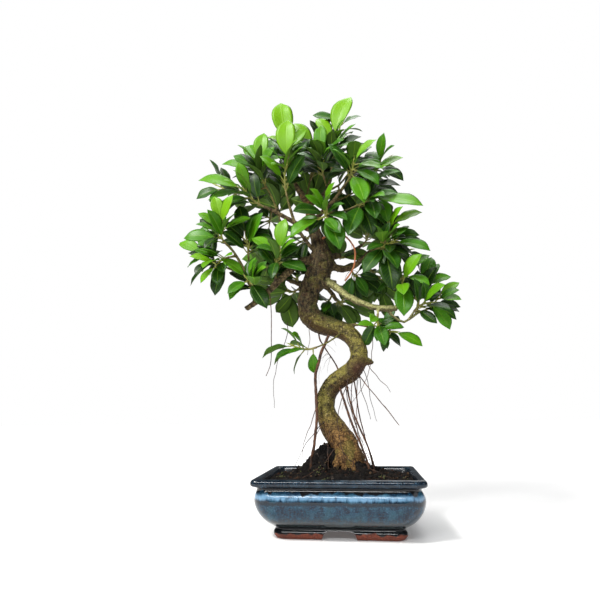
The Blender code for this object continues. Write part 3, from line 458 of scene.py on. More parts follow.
def bark_paint(settings):
    """Bark that changes up the tree: golden at the base, olive on the bends, grey and rough, then rusty."""
    paint = Paint("ficus_bark", ior=1.45, specular_ior_level=0.25)
    place = paint.place()
    wander = paint.grain(place, 0.02, detail=3, output="Color")
    height = (paint.height(paint.moved(place, wander, 0.03)) - 0.015) / MM
    thick = paint.value("thickness")
    along = paint.value("along")
    upward = paint.upward()
    fine = paint.grain(place, 0.0011, detail=5, roughness=0.7)
    patches = paint.grain(place, 0.005, detail=6, roughness=0.72)
    blotches = paint.grain(place, 0.017, detail=4)
    net = paint.cells(paint.moved(place, wander, 0.006), 0.003, feature="DISTANCE_TO_EDGE")
    spots = paint.cells(place, 0.0034)
    rings = (along * (math.tau / 0.0052) + patches * 7).sine() * 0.5 + 0.5
    cracks = paint.grain(paint.scaled(place, (1, 1, 0.3)), 0.0026, detail=6, roughness=0.75)

    olive = paint.blend(patches.rise(0.36, 0.62), settings.olive_dark, settings.olive_light)
    olive = paint.blend(spots.rise(0.34, 0.16) * fine.rise(0.35, 0.6) * 0.75, olive, settings.tan_speck)
    # Painted shade: under grows where the bark faces down. There the bark is blended towards the dark red
    # brown, on the bends here and at the base below, and towards twig_dark on the pale branch
    under = (upward * -1 + (patches - 0.5) * 1.6).rise(-0.1, 0.55)
    olive = paint.blend(under * 0.8, olive, settings.red_brown)
    golden = paint.blend(patches.rise(0.34, 0.6), settings.gold_dark, settings.gold_light)
    golden = paint.blend(net.rise(0.13, 0.0) * 0.85, golden, settings.red_brown)
    # Painted shade on the undersides at the base
    golden = paint.blend(under * 0.5, golden, settings.red_brown)
    golden = paint.blend(blotches.rise(0.5, 0.64) * 0.45, golden, settings.olive_light)
    colour = paint.blend(height.rise(84, 116), golden, olive)
    grey = paint.blend(cracks.rise(0.42, 0.6), settings.grey_dark, settings.grey_light)
    grey = paint.blend(blotches.rise(0.52, 0.62) * 0.35, grey, settings.olive_light)
    grey = paint.blend(patches.rise(0.5, 0.36) * 0.8, grey, settings.red_brown)
    colour = paint.blend((height + (blotches - 0.5) * 40).rise(196, 214), colour, grey)
    rusty = paint.blend(rings.rise(0.3, 0.8), settings.rust_dark, settings.rust_light)
    colour = paint.blend((height + (patches - 0.5) * 30).rise(296, 316), colour, rusty)
    young = paint.blend(patches.rise(0.35, 0.65), settings.twig_dark, settings.twig_light)
    young = paint.blend(rings.rise(0.75, 0.95) * 0.35, young, settings.grey_dark)
    slim = thick.rise(0.0058, 0.0036)
    colour = paint.blend(slim, colour, young)
    green = thick.rise(0.0021, 0.0013)
    colour = paint.blend(green * patches.rise(0.3, 0.55) * 0.75, colour, settings.stem_colour)
    pale = paint.value("pale") * (0.55 + 0.45 * patches.rise(0.3, 0.6))
    cream = paint.blend(spots.rise(0.3, 0.15) * 0.5, settings.cream, settings.twig_light)
    # Painted shade on the undersides of the pale branch
    cream = paint.blend(under * 0.75, cream, settings.twig_dark)
    colour = paint.blend(pale, colour, cream)
    mossy = height.rise(190, 212) * height.rise(316, 296)
    moss = (upward * 0.4 + patches + blotches).rise(1.16, 1.32) * mossy
    colour = paint.blend(moss * 0.75, colour, settings.moss_colour)
    scar = paint.value("scar") * patches.rise(0.25, 0.5)
    colour = paint.blend(scar, colour, settings.red_brown)
    # The bark is darker below about 50 mm, near the soil
    near_soil = height.rise(58, 48)
    colour = paint.blend(near_soil * 0.6, colour, settings.grey_dark)
    colour = paint.blend(fine.rise(0.52, 0.38) * 0.72, colour, settings.grey_dark)
    bright = fine.rise(0.56, 0.7) * (1 - pale) * thick.rise(0.003, 0.006)
    paint.set("Base Color", paint.blend(bright * 0.4, colour, settings.tan_speck))
    paint.set("Roughness", 0.52 + 0.35 * fine + 0.1 * height.rise(190, 215))
    rough = height.rise(190, 215) * height.rise(300, 285)
    relief = fine * 0.7 + rings * slim * 0.3 + cracks * (0.25 + rough * 1.3) + spots.rise(0.3, 0.1) * 0.35
    paint.relief(relief + net.rise(0.0, 0.1) * height.rise(116, 84) * 0.5, 0.0009)
    return paint.material


def root_paint(settings):
    """Reddish root bark. Each root holds how dry and how warm in colour it is."""
    paint = Paint("aerial_root")
    place = paint.place()
    patches = paint.grain(place, 0.005, detail=5)
    fine = paint.grain(place, 0.0006, detail=4)
    colour = paint.blend(patches.rise(0.35, 0.65), settings.root_dark, settings.root_light)
    colour = paint.blend(paint.value("tone"), colour, settings.root_hair)
    colour = paint.blend(paint.value("warm") * patches.rise(0.2, 0.45), colour, settings.root_warm)
    paint.set("Base Color", paint.blend(fine.rise(0.5, 0.8) * 0.35, colour, settings.root_pale))
    paint.set("Roughness", 0.6 + 0.3 * fine)
    paint.relief(fine * 0.5 + patches * 0.5, 0.0004)
    return paint.material


def leaf_paint(settings):
    """A waxy leaf: each holds its own tone, with a pale midrib, fine side veins and a duller underside."""
    paint = Paint("ficus_leaf", ior=1.45, coat_roughness=0.3, specular_ior_level=0.22)
    place = paint.place()
    along = paint.value("along")
    across = abs(paint.value("across"))
    # tone holds each leaf's age, lowered by the painted shade of the leaves towards the light
    tone = paint.value("tone")
    under = paint.value("under")
    cloud = paint.grain(place, 0.007, detail=3)
    fine = paint.grain(place, 0.0009, detail=3)
    rib = across.rise(0.1, 0.025) * along.rise(1.0, 0.8)
    phase = along * 12 - across * 2.6
    veins = (phase * math.tau).sine().rise(0.86, 1.0) * across.rise(1.0, 0.8) * across.rise(0.04, 0.14)
    leaf = paint.ramp(tone + (cloud - 0.5) * 0.24, *settings.stops())
    leaf = paint.blend(veins * 0.22, leaf, settings.vein_colour)
    leaf = paint.blend(across.rise(0.9, 1.0) * 0.25, leaf, settings.vein_colour)
    leaf = paint.blend(fine.rise(0.45, 0.7) * 0.12, leaf, settings.shade_colour)
    back = paint.blend(0.55, leaf, settings.under_colour)
    leaf = paint.blend(under, leaf, back)
    leaf = paint.blend(rib * (0.34 + 0.4 * under), leaf, settings.rib_colour)
    paint.set("Base Color", leaf)
    paint.set("Roughness", 0.34 + 0.16 * cloud + under * 0.25)
    paint.set("Coat Weight", 0.05 - under * 0.05)
    groove = 1 - rib * (1 - under * 2)
    paint.relief(groove * 0.8 + (1 - veins) * 0.25 + fine * 0.1, 0.00035, 0.7)
    return paint.material


def stem_paint(settings):
    """Stems and stalks, brown where they are old and green where they are young."""
    paint = Paint("green_stem", ior=1.45)
    place = paint.place()
    tone = paint.value("tone")
    patches = paint.grain(place, 0.003, detail=4)
    colour = paint.blend(tone, settings.stem_old, settings.stem_young)
    colour = paint.blend(patches.rise(0.4, 0.7) * 0.4, colour, settings.stem_old)
    paint.set("Base Color", colour)
    paint.set("Roughness", 0.45 + 0.2 * patches)
    paint.relief(patches, 0.0002)
    return paint.material


def floor_paint(settings):
    """A matt floor that glows more towards the horizon, so that it fades into the white surround."""
    paint = Paint("pale_floor", emission_strength=1.0)
    place = paint.place()
    cloud = paint.grain(place, 0.4, detail=2)
    away = paint.node("ShaderNodeVectorMath", {"operation": "LENGTH"}, {"Vector": place})["Value"]
    paint.set("Emission Color", paint.blend(away.rise(0.2, 1.1), (0.1, 0.1, 0.1), (1.0, 1.0, 1.0)))
    paint.set("Base Color", paint.blend(cloud * 0.3, settings.floor_colour, (0.86, 0.86, 0.86)))
    paint.set("Roughness", 0.6 + 0.05 * cloud)
    return paint.material


# ---------------------------------------------------------------- shapes


class Shape:
    """Points and faces of one piece, the material of each face, and the values that its points hold."""

    def __init__(self, *fields):
        self.points = []
        self.faces = []
        self.materials = []
        self.values = {field: [] for field in fields}

    def point(self, place, **values):
        self.points.append(place)
        for field, held in self.values.items():
            held.append(values.get(field, 0.0))
        return len(self.points) - 1

    def face(self, *corners, material=0):
        self.faces.append(corners)
        self.materials.append(material)

    def skin(self, low, high, material=0, closed=True):
        """Faces between two rows of points."""
        count = len(low)
        for i in range(count if closed else count - 1):
            j = (i + 1) % count
            self.face(low[i], low[j], high[j], high[i], material=material)

    def cap(self, row, place, turned=False, material=0, **values):
        """Closes a ring of points with a fan."""
        middle = self.point(place, **values)
        for i, start in enumerate(row):
            end = row[(i + 1) % len(row)]
            corners = (start, end, middle) if turned else (end, start, middle)
            self.face(*corners, material=material)

    def tube(self, line, radii, sides, material=0, rough=0.0, **values):
        """A round tube along a line of places, closed at both ends. rough is how uneven its radius is."""
        rows = []
        for number, (place, side, across) in enumerate(sections(line)):
            row = []
            for i in range(sides):
                angle = math.tau * i / sides
                radius = radii[number]
                out = math.cos(angle) * side + math.sin(angle) * across
                if rough:
                    radius *= 1 + rough * noise.noise((place + out * radius) / (3 * MM))
                row.append(self.point(place + out * radius, **values))
            rows.append(row)
        for low, high in zip(rows, rows[1:]):
            self.skin(low, high, material)
        self.cap(rows[0], line[0], material=material, **values)
        self.cap(rows[-1], line[-1], turned=True, material=material, **values)

    def piece(self, name, materials, smooth=True):
        mesh = bpy.data.meshes.new(name)
        mesh.from_pydata([tuple(point) for point in self.points], [], self.faces)
        hold_values(mesh, self.values)
        for material in materials:
            mesh.materials.append(material)
        mesh.polygons.foreach_set("material_index", self.materials)
        if smooth:
            mesh.shade_smooth()
        made = bpy.data.objects.new(name, mesh)
        bpy.context.scene.collection.objects.link(made)
        return made


def hold_values(mesh, values):
    """Stores named values, one for each of the mesh's points, for its material to read."""
    for name, held in values.items():
        mesh.attributes.new(name, "FLOAT", "POINT").data.foreach_set("value", held)


def coat(mesh, material):
    """Gives a mesh one material in place of any it has."""
    mesh.materials.clear()
    mesh.materials.append(material)


def settle(piece, slot, *nodes):
    """Fixes a finished piece to the tree's one body, in the place of its nodes."""
    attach(piece, "root")
    if nodes:
        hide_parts(*nodes)
    return piece


def direction_at(line, i):
    """Which way a line runs at its place number i."""
    ahead = line[min(i + 1, len(line) - 1)]
    behind = line[max(i - 1, 0)]
    return (ahead - behind).normalized()


def sections(line):
    """Each place of a line with two directions across it, carried along without twisting."""
    found = []
    side = None
    for i, place in enumerate(line):
        direction = direction_at(line, i)
        if side is None:
            side = direction.orthogonal().normalized()
        side = (side - direction * side.dot(direction)).normalized()
        found.append((place, side.copy(), direction.cross(side)))
    return found


def curve(points, steps):
    """Places along a smooth curve through the points. A point may hold more than three numbers."""
    points = [Vector(point) for point in points]
    route = [2 * points[0] - points[1], *points, 2 * points[-1] - points[-2]]
    found = []
    for before, start, end, after in zip(route, route[1:], route[2:], route[3:]):
        for step in range(steps):
            t = step / steps
            found.append(
                start
                + 0.5 * t * (end - before)
                + 0.5 * t**2 * (2 * before - 5 * start + 4 * end - after)
                + 0.5 * t**3 * (3 * start - before - 3 * end + after)
            )
    return [*found, points[-1]]


def wandering(line, amount, size, seed):
    """The line with small kinks, none at its first place."""
    shift = Vector((seed * 7.1, seed * 3.3, seed * 5.7))
    found = []
    for i, place in enumerate(line):
        here = place / size + shift
        push = Vector([noise.noise(here + apart) for apart in NOISE_APART])
        found.append(place + push * amount * min(1, i / 4))
    return found


def rounded_outline(inset, height, radius, corner_steps=12, side_steps=22):
    """Places round a rounded rectangle inside the rim's outline, with the straight sides divided too."""
    half_x = POT_HALF.x - inset * MM
    half_y = POT_HALF.y - inset * MM
    radius = min(radius * MM, half_x * 0.95, half_y * 0.95)
    corners = []
    for sign_x, sign_y, start in ((1, 1, 0), (-1, 1, 90), (-1, -1, 180), (1, -1, 270)):
        middle = Vector((sign_x * (half_x - radius), sign_y * (half_y - radius), height * MM))
        for step in range(corner_steps + 1):
            angle = math.radians(start + 90 * step / corner_steps)
            corners.append(POT_MIDDLE + middle + radius * Vector((math.cos(angle), math.sin(angle), 0)))
    found = []
    for i, place in enumerate(corners):
        found.append(place)
        if i % (corner_steps + 1) == corner_steps:
            following = corners[(i + 1) % len(corners)]
            found.extend(place.lerp(following, step / side_steps) for step in range(1, side_steps))
    return found


def evaluated_mesh(piece):
    graph = bpy.context.evaluated_depsgraph_get()
    return bpy.data.meshes.new_from_object(piece.evaluated_get(graph), depsgraph=graph)


def bake_modifiers(piece):
    """Replaces the piece's mesh by what its modifiers make of it."""
    mesh = evaluated_mesh(piece)
    piece.modifiers.clear()
    piece.data = mesh


def carve(piece, cutter):
    """Cuts one closed shape out of a piece, with clean faces."""
    step = piece.modifiers.new("cut", "BOOLEAN")
    step.operation = "DIFFERENCE"
    step.solver = "EXACT"
    step.object = cutter
    bake_modifiers(piece)
    bpy.data.objects.remove(cutter, do_unlink=True)


def joined(node):
    """A frame node's places with doubles joined, the neighbours of each, and the faces between them."""
    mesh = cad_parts[node].data
    found = {}
    places = []
    index = []
    for vertex in mesh.vertices:
        key = tuple(round(value / (2e-3 * MM)) for value in vertex.co)
        if key not in found:
            found[key] = len(places)
            places.append(vertex.co.copy())
        index.append(found[key])
    neighbours = [set() for _ in places]
    faces = []
    for polygon in mesh.polygons:
        corners = [index[i] for i in polygon.vertices]
        faces.append(corners)
        for a, b in zip(corners, corners[1:] + corners[:1]):
            neighbours[a].add(b)
            neighbours[b].add(a)
    return places, neighbours, faces


def node_surface(node):
    """A frame node's faces, ready to be searched."""
    places, _, faces = joined(node)
    return BVHTree.FromPolygons(places, faces)


def middle_of(places):
    return sum(places, Vector()) / len(places)


# ---------------------------------------------------------------- pot


def make_pot(settings):
    """The glazed pot, lofted round its outline, with the arches and the drain holes cut through."""
    shape = Shape("inside", "bare")
    outside = curve(POT_OUTSIDE, 3)
    inside = curve(POT_INSIDE, 4)
    stations = [(row, 0, 0) for row in outside] + [(row, 1, 0) for row in inside]
    stations = [(Vector(row), 0, 1) for row in reversed(POT_UNDERSIDE)] + stations
    rows = []
    for (inset, height, radius), inner, bare in stations:
        row = []
        for place in rounded_outline(inset, height, radius):
            out = (place - POT_MIDDLE).normalized()
            out.z = 0
            wave = noise.noise(place / (26 * MM)) * settings.unevenness
            wave += noise.noise(place / (9 * MM)) * settings.unevenness * 0.35
            if height < 1 or bare:
                wave = 0
            row.append(shape.point(place - out * abs(wave), inside=inner, bare=bare))
        rows.append(row)
    for low, high in zip(rows, rows[1:]):
        shape.skin(low, high)
    bottom = POT_MIDDLE + Vector((0, 0, POT_UNDERSIDE[-1][1] * MM))
    shape.cap(rows[0], bottom, bare=1)
    floor = POT_MIDDLE + Vector((0, 0, POT_INSIDE[-1][1] * MM))
    shape.cap(rows[-1], floor, turned=True, inside=1)
    pot = shape.piece("glazed_pot", [glaze_paint(settings)])
    for half, height, along_x in ARCHES:
        carve(pot, arch_cutter(half, height, along_x))
    for side in (-1, 1):
        hole = Shape()
        line = [at(side * DRAIN_PLACE, 0, z) for z in (5, 20)]
        hole.tube(line, [DRAIN_HOLE * MM] * 2, 32)
        carve(pot, hole.piece("hole", []))
    edge = pot.modifiers.new("soft edges", "BEVEL")
    edge.width = settings.edge_round
    edge.segments = 2
    edge.limit_method = "ANGLE"
    edge.angle_limit = math.radians(48)
    bake_modifiers(pot)
    pot.data.shade_smooth()
    pot.data.set_sharp_from_angle(angle=math.radians(55))
    settle(pot, "glaze", "pot")


def arch_cutter(half, height, along_x):
    """A bar with a flattened round top that runs through both sides of the foot."""
    outline = [(half + 1.2, -1), (half, 0.2), (half - 0.6, 1.2)]
    for step in range(9):
        angle = math.radians(90 * step / 8)
        outline.append((half - 7 + 6 * math.cos(angle), height - 5 + 5 * math.sin(angle)))
    outline += [(-x, z) for x, z in reversed(outline)]
    reach = 2 * POT_HALF.x / MM
    shape = Shape()
    rows = []
    for end in (-reach, reach):
        ring = [at(end, x, z) if along_x else at(x, end, z) for x, z in outline]
        rows.append([shape.point(place) for place in (ring if along_x else ring[::-1])])
    shape.skin(*rows)
    shape.face(*reversed(rows[0]))
    shape.face(*rows[1])
    cutter = shape.piece("arch", [], smooth=False)
    bm = bmesh.new()
    bm.from_mesh(cutter.data)
    bmesh.ops.recalc_face_normals(bm, faces=bm.faces)
    bm.to_mesh(cutter.data)
    bm.free()
    return cutter


# ---------------------------------------------------------------- soil


def soil_surface():
    """A function that gives the height of the soil's top over a place, read from its node's own points."""
    places, _, _ = joined("soil")
    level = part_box("pot")[1].z - 8 * MM
    top = [place for place in places if place.z > level]
    tree = KDTree(len(top))
    for i, place in enumerate(top):
        tree.insert((place.x, place.y, 0), i)
    tree.balance()

    def height(x, y):
        total = 0
        weight = 0
        for _, i, distance in tree.find_n((x, y, 0), 5):
            share = 1 / (distance + 1.5 * MM) ** 2
            total += share * top[i].z
            weight += share
        return total / weight

    return height


def soil_relief(place):
    """Lumps and pits of the soil at a place."""
    coarse = noise.fractal(place / (9 * MM), 0.9, 2.1, 4) * 1.5
    fine = noise.cell(place / (1.7 * MM)) * 0.5
    return (coarse + fine) * MM


def make_soil(settings):
    """The soil's surface and sides: rows that shrink from the pot's wall towards the middle."""
    shape = Shape()
    height = soil_surface()
    rows = []
    for inset, z in SOIL_SIDES:
        rows.append([shape.point(place) for place in rounded_outline(inset, z, 12, 10, 24)])
    edge = rounded_outline(*SOIL_EDGE, 10, 10, 24)
    for step in range(SOIL_ROWS):
        share = 1 - step / SOIL_ROWS
        roughness = min(1, 4 * (1 - share) + 0.3)
        row = []
        for place in edge:
            x = POT_MIDDLE.x + (place.x - POT_MIDDLE.x) * share
            y = POT_MIDDLE.y + (place.y - POT_MIDDLE.y) * share
            z = height(x, y) + soil_relief(Vector((x, y, 0))) * roughness
            row.append(shape.point(Vector((x, y, z))))
        rows.append(row)
    for low, high in zip(rows, rows[1:]):
        shape.skin(low, high)
    top = height(POT_MIDDLE.x, POT_MIDDLE.y)
    shape.cap(rows[0], POT_MIDDLE + Vector((0, 0, SOIL_SIDES[0][1] * MM)))
    shape.cap(rows[-1], POT_MIDDLE + Vector((0, 0, top)), turned=True)
    soil = shape.piece("soil_bed", [soil_paint(settings)])
    settle(soil, "soil", "soil")


def lump(shape, place, size, rng, **values):
    """One irregular crumb."""
    squash = Vector((rng.uniform(0.6, 1.3), rng.uniform(0.6, 1.3), rng.uniform(0.5, 0.9)))
    turn = Quaternion((rng.random() - 0.5, rng.random() - 0.5, rng.random() - 0.5), rng.uniform(0, math.tau))
    first = len(shape.points)
    golden = (1 + math.sqrt(5)) / 2
    corners = []
    for a in (-1, 1):
        for b in (-golden, golden):
            corners += [Vector((0, a, b)), Vector((a, b, 0)), Vector((b, 0, a))]
    for corner in corners:
        corner = corner.normalized() * size * rng.uniform(0.75, 1.2)
        corner = turn @ Vector(a * b for a, b in zip(corner, squash))
        shape.point(place + corner, **values)
    bm = bmesh.new()
    for place in shape.points[first:]:
        bm.verts.new(place)
    bm.verts.index_update()
    hull = bmesh.ops.convex_hull(bm, input=bm.verts)
    for face in hull["geom"]:
        if isinstance(face, bmesh.types.BMFace):
            shape.face(*(first + vertex.index for vertex in face.verts))
    bm.free()


def random_soil_place(rng, height):
    """Any place on the soil's top that is clear of the wall."""
    x = POT_MIDDLE.x + rng.uniform(-1, 1) * (POT_HALF.x - SOIL_MARGIN)
    y = POT_MIDDLE.y + rng.uniform(-1, 1) * (POT_HALF.y - SOIL_MARGIN)
    here = Vector((x, y, 0))
    return Vector((x, y, height(x, y) + soil_relief(here)))


def make_litter(settings):
    """Crumbs, moss and bits of bark that lie on the soil."""
    rng = random.Random(11)
    height = soil_surface()
    crumbs = Shape("tone")
    for _ in range(settings.crumb_count):
        place = random_soil_place(rng, height)
        size = rng.uniform(0.5, 1.1) ** 2 * 1.5 * MM
        lump(crumbs, place, size, rng, tone=rng.random() ** 1.2)
    for _ in range(LOOSE_FIBRES):
        place = random_soil_place(rng, height) + Vector((0, 0, 0.3 * MM))
        angle = rng.uniform(0, math.tau)
        reach = Vector((math.cos(angle), math.sin(angle), rng.uniform(-0.1, 0.35))) * rng.uniform(3, 9) * MM
        bend = Vector((rng.uniform(-1, 1), rng.uniform(-1, 1), 0.6)) * 1.2 * MM
        line = curve((place - reach / 2, place + bend, place + reach / 2), 4)
        crumbs.tube(line, [rng.uniform(0.15, 0.4) * MM] * len(line), 5, tone=rng.uniform(0.7, 1.0))
    settle(crumbs.piece("peat_crumbs", [crumb_paint()], smooth=False), "soil")
    moss = Shape()
    for _ in range(settings.moss_count):
        heart = random_soil_place(rng, height)
        for _ in range(MOSS_CLUMP):
            spread = Vector((rng.gauss(0, 1), rng.gauss(0, 1), 0)) * 1.8 * MM
            place = heart + spread
            place.z = height(place.x, place.y) + soil_relief(Vector((place.x, place.y, 0))) + 0.2 * MM
            lump(moss, place, rng.uniform(0.6, 1.3) * MM, rng)
    settle(moss.piece("moss_bits", [moss_paint()], smooth=False), "soil")


# ---------------------------------------------------------------- wood


def swell(places, faces, amount):
    """The places moved outwards along the surface's own normals."""
    normals = [Vector() for _ in places]
    for corners in faces:
        a, b, c = (places[i] for i in corners[:3])
        face_normal = (b - a).cross(c - a)
        for i in corners:
            normals[i] += face_normal
    return [place + normal.normalized() * amount for place, normal in zip(places, normals)]


def add_collar(shape, node, trunk):
    """A cone that thickens a branch where it leaves the trunk."""
    places, _, _ = joined(node)
    near = sorted(places, key=lambda place: trunk.find_nearest(place)[3])
    ring = near[:6]
    start = middle_of(ring)
    radius = sum((place - start).length for place in ring) / len(ring)
    away = [place for place in places if 5 * MM < (place - start).length < 16 * MM]
    if not away:
        return
    along = (middle_of(away) - start).normalized()
    line = [start - along * 4 * MM, start, start + along * 4 * MM, start + along * 11 * MM]
    shape.tube(line, [radius * share for share in (1.9, 1.55, 1.25, 0.95)], 10)


def wood_block():
    """Trunk, branches, collars, surface roots and stubs as closed shells that overlap."""
    shape = Shape()
    for node in WOOD:
        places, _, faces = joined(node)
        first = len(shape.points)
        for place in swell(places, faces, SWELL):
            shape.point(place)
        for corners in faces:
            shape.face(*(first + i for i in corners))
    trunk = node_surface("trunk")
    for node in WOOD:
        if node != "trunk":
            add_collar(shape, node, trunk)
    for radius, points in FOOT_ROOTS:
        line = curve([at(*point) for point in points], 4)
        radii = [radius * MM * (1 - 0.45 * i / (len(line) - 1)) for i in range(len(line))]
        shape.tube(line, radii, 12)
    for stub in STUBS:
        line = curve(stub, 3)
        shape.tube([at(*point[:3]) for point in line], [point[3] * MM for point in line], 12)
    return shape.piece("wood", [])


def mesh_arrays(mesh):
    """A mesh's places, normals and edges, a row for each."""
    places = np.empty(len(mesh.vertices) * 3)
    mesh.vertices.foreach_get("co", places)
    normals = np.empty(len(mesh.vertices) * 3)
    mesh.vertices.foreach_get("normal", normals)
    edges = np.empty(len(mesh.edges) * 2, int)
    mesh.edges.foreach_get("vertices", edges)
    return places.reshape(-1, 3), normals.reshape(-1, 3), edges.reshape(-1, 2)


def smoothed(values, edges, rounds):
    """Values at points, averaged with their neighbours some times over."""
    values = values.astype(float)
    count = np.zeros(len(values))
    np.add.at(count, edges.ravel(), 1)
    for _ in range(rounds):
        total = np.zeros_like(values)
        np.add.at(total, edges[:, 0], values[edges[:, 1]])
        np.add.at(total, edges[:, 1], values[edges[:, 0]])
        mean = total / (count[:, None] if values.ndim == 2 else count)
        values = 0.5 * values + 0.5 * mean
    return values


def growth_distance(places, edges):
    """How far each point is from the trunk's foot, along the surface."""
    links = [[] for _ in places]
    lengths = np.linalg.norm(places[edges[:, 0]] - places[edges[:, 1]], axis=1)
    for (a, b), length in zip(edges.tolist(), lengths.tolist()):
        links[a].append((b, length))
        links[b].append((a, length))
    far = [math.inf] * len(places)
    queue = [(0.0, int(i)) for i in np.flatnonzero(places[:, 2] < places[:, 2].min() + 2 * MM)]
    for _, i in queue:
        far[i] = 0.0
    heapq.heapify(queue)
    while queue:
        distance, i = heapq.heappop(queue)
        if distance > far[i]:
            continue
        for j, length in links[i]:
            if distance + length < far[j]:
                far[j] = distance + length
                heapq.heappush(queue, (far[j], j))
    return np.array([value if value < math.inf else 0.0 for value in far])


def wall_thickness(mesh, places, normals):
    """The wood's radius under each point: half the way through to the other side."""
    faces = [tuple(face.vertices) for face in mesh.polygons]
    tree = BVHTree.FromPolygons([Vector(place) for place in places], faces)
    found = []
    for place, normal in zip(places, normals):
        inward = -Vector(normal)
        hit = tree.ray_cast(Vector(place) + inward * 0.05 * MM, inward, 60 * MM)[3]
        found.append((hit or 2 * MM) / 2)
    return np.array(found)


def nearness(places, node, reach):
    """1 on a node's surface, falling to 0 at reach from it."""
    tree = node_surface(node)
    found = [tree.find_nearest(Vector(place), reach)[3] for place in places]
    return np.array([0.0 if distance is None else 1 - distance / reach for distance in found])


def stretched(place, across, upright):
    """Where to read noise at a place, for lumps so many millimetres across and upright."""
    return Vector((place.x / (across * MM), place.y / (across * MM), place.z / (upright * MM)))


def bark_push(place, radius, along):
    """How far the bark stands out at a place, for wood of that radius."""
    height = place.z / MM
    old = clamped((height - 188) / 20) * clamped((300 - height) / 15) * clamped(radius / (6 * MM))
    push = noise.noise(place / (13 * MM)) * 0.075 * radius
    push += noise.noise(place / (5.5 * MM)) * 0.04 * radius
    base = clamped((112 - height) / 40)
    push += noise.noise(stretched(place, 5, 22)) * base * 0.8 * MM
    push += noise.turbulence(place / (4.2 * MM), 4, True) * old * 1.2 * MM
    push += noise.noise(place / (8.5 * MM)) * old * 1.5 * MM
    push -= abs(noise.noise(stretched(place, 2.6, 7))) * old * 0.7 * MM
    rings = math.sin(along / (0.85 * MM) + 3 * noise.noise(place / (8 * MM)))
    push += max(0, rings) ** 3 * 0.045 * min(radius, 4 * MM)
    return push + noise.noise(place / (1.6 * MM)) * 0.12 * MM * min(1, radius / (3 * MM))


def make_wood(settings):
    """Trunk and branches grown into one skin, with bark."""
    block = wood_block()
    remesh = block.modifiers.new("grow together", "REMESH")
    remesh.mode = "VOXEL"
    remesh.voxel_size = settings.bark_step
    bake_modifiers(block)
    mesh = block.data
    places, _, edges = mesh_arrays(mesh)
    places = smoothed(places, edges, 5)
    mesh.vertices.foreach_set("co", places.ravel())
    mesh.update()
    places, normals, edges = mesh_arrays(mesh)
    thickness = smoothed(wall_thickness(mesh, places, normals), edges, 10)
    along = smoothed(growth_distance(places, edges), edges, 3)
    push = [bark_push(Vector(place), radius, far) for place, radius, far in zip(places, thickness, along)]
    push = np.array(push) - 0.2 * MM
    mesh.vertices.foreach_set("co", (places + normals * push[:, None]).ravel())
    scar = np.linalg.norm(places - np.array(at(*SCAR)), axis=1)
    values = {
        "thickness": thickness,
        "along": along,
        "pale": smoothed(nearness(places, "branch_low_right", 1.2 * MM), edges, 4),
        "scar": np.clip(1.3 - scar / SCAR_REACH, 0, 1),
    }
    hold_values(mesh, values)
    mesh.shade_smooth()
    coat(mesh, bark_paint(settings))
    block.name = "trunk_and_branches"
    settle(block, "bark", *WOOD)


# ---------------------------------------------------------------- roots


def centre_line(node):
    """The middle of each ring of a slim tube node, from one end to the other."""
    places, neighbours, _ = joined(node)

    def distances(start):
        far = {start: 0.0}
        queue = [(0.0, start)]
        while queue:
            distance, i = heapq.heappop(queue)
            if distance > far[i]:
                continue
            for j in sorted(neighbours[i]):
                reached = distance + (places[i] - places[j]).length
                if reached < far.get(j, math.inf):
                    far[j] = reached
                    heapq.heappush(queue, (reached, j))
        return far

    def farthest(start):
        far = distances(start)
        return max(far, key=lambda i: (far[i], i))

    end = farthest(0)
    far = distances(max(end, farthest(end), key=lambda i: places[i].z))
    order = sorted(far, key=lambda i: (far[i], i))
    rings = [[order[0]]]
    for before, i in zip(order, order[1:]):
        if far[i] - far[before] > RING_GAP:
            rings.append([])
        rings[-1].append(i)
    return [middle_of([places[i] for i in ring]) for ring in rings]


def taper(first, last, count):
    """Radii that go evenly from the first to the last."""
    return [first + (last - first) * i / (count - 1) for i in range(count)]


def tube_radius(node, line):
    """The usual distance of a node's points from its middle line."""
    places, _, _ = joined(node)
    return sorted(min((place - middle).length for middle in line) for place in places)[len(places) // 2]


def make_roots(settings):
    """Aerial roots that have a node of their own, with rootlets on the thick ones."""
    rng = random.Random(5)
    paint = root_paint(settings)
    for number, node in enumerate(ROOTS):
        line = centre_line(node)
        radius = tube_radius(node, line)
        head = line[0] + (line[0] - line[1]).normalized() * 2 * MM
        tail = line[-1] + (line[-1] - line[-2]).normalized() * MM
        line = wandering(curve([head, *line, tail], 5), 0.5 * MM, 14 * MM, number)
        shape = Shape("tone", "warm")
        slim = 0.55 if radius < SLIM_ROOT else 0.85
        warm = 0.0
        if node == "root_crown_loop":
            radius *= 1.35
            slim = 0.8
            warm = 1.0
        shape.tube(line, taper(radius, radius * slim, len(line)), 9, rough=0.28, tone=0.0, warm=warm)
        for _ in range(settings.rootlets if radius > SLIM_ROOT else 2):
            start = rng.randrange(2, len(line) - 3)
            heading = Vector((rng.uniform(-1, 1), rng.uniform(-1, 1), rng.uniform(-1.2, -0.2))).normalized()
            reach = rng.uniform(6, 16) * MM
            points = [line[start], line[start] + heading * reach * 0.5, line[start] + heading * reach]
            points[2].z -= reach * 0.35
            hair = wandering(curve(points, 5), 0.8 * MM, 6 * MM, number + start)
            shape.tube(hair, taper(0.22 * MM, 0.07 * MM, len(hair)), 5, tone=0.6)
        settle(shape.piece(node.replace("root", "aerial_root"), [paint]), "root", node)


def make_hair_roots(settings):
    """Hair-thin roots that hang free or run down to the soil."""
    shape = Shape("tone")
    rng = random.Random(8)
    for number, (radius, points) in enumerate(HAIR_ROOTS):
        line = wandering(curve([at(*point) for point in points], 8), 1.1 * MM, 9 * MM, number + 20)
        radius = min(radius * settings.hair_size, HAIR_ROOT_MOST) * MM
        shape.tube(line, taper(radius, radius * 0.45, len(line)), 6, tone=rng.uniform(0.2, 1.0))
    settle(shape.piece("hair_roots", [root_paint(settings)]), "root")


# ---------------------------------------------------------------- shoots


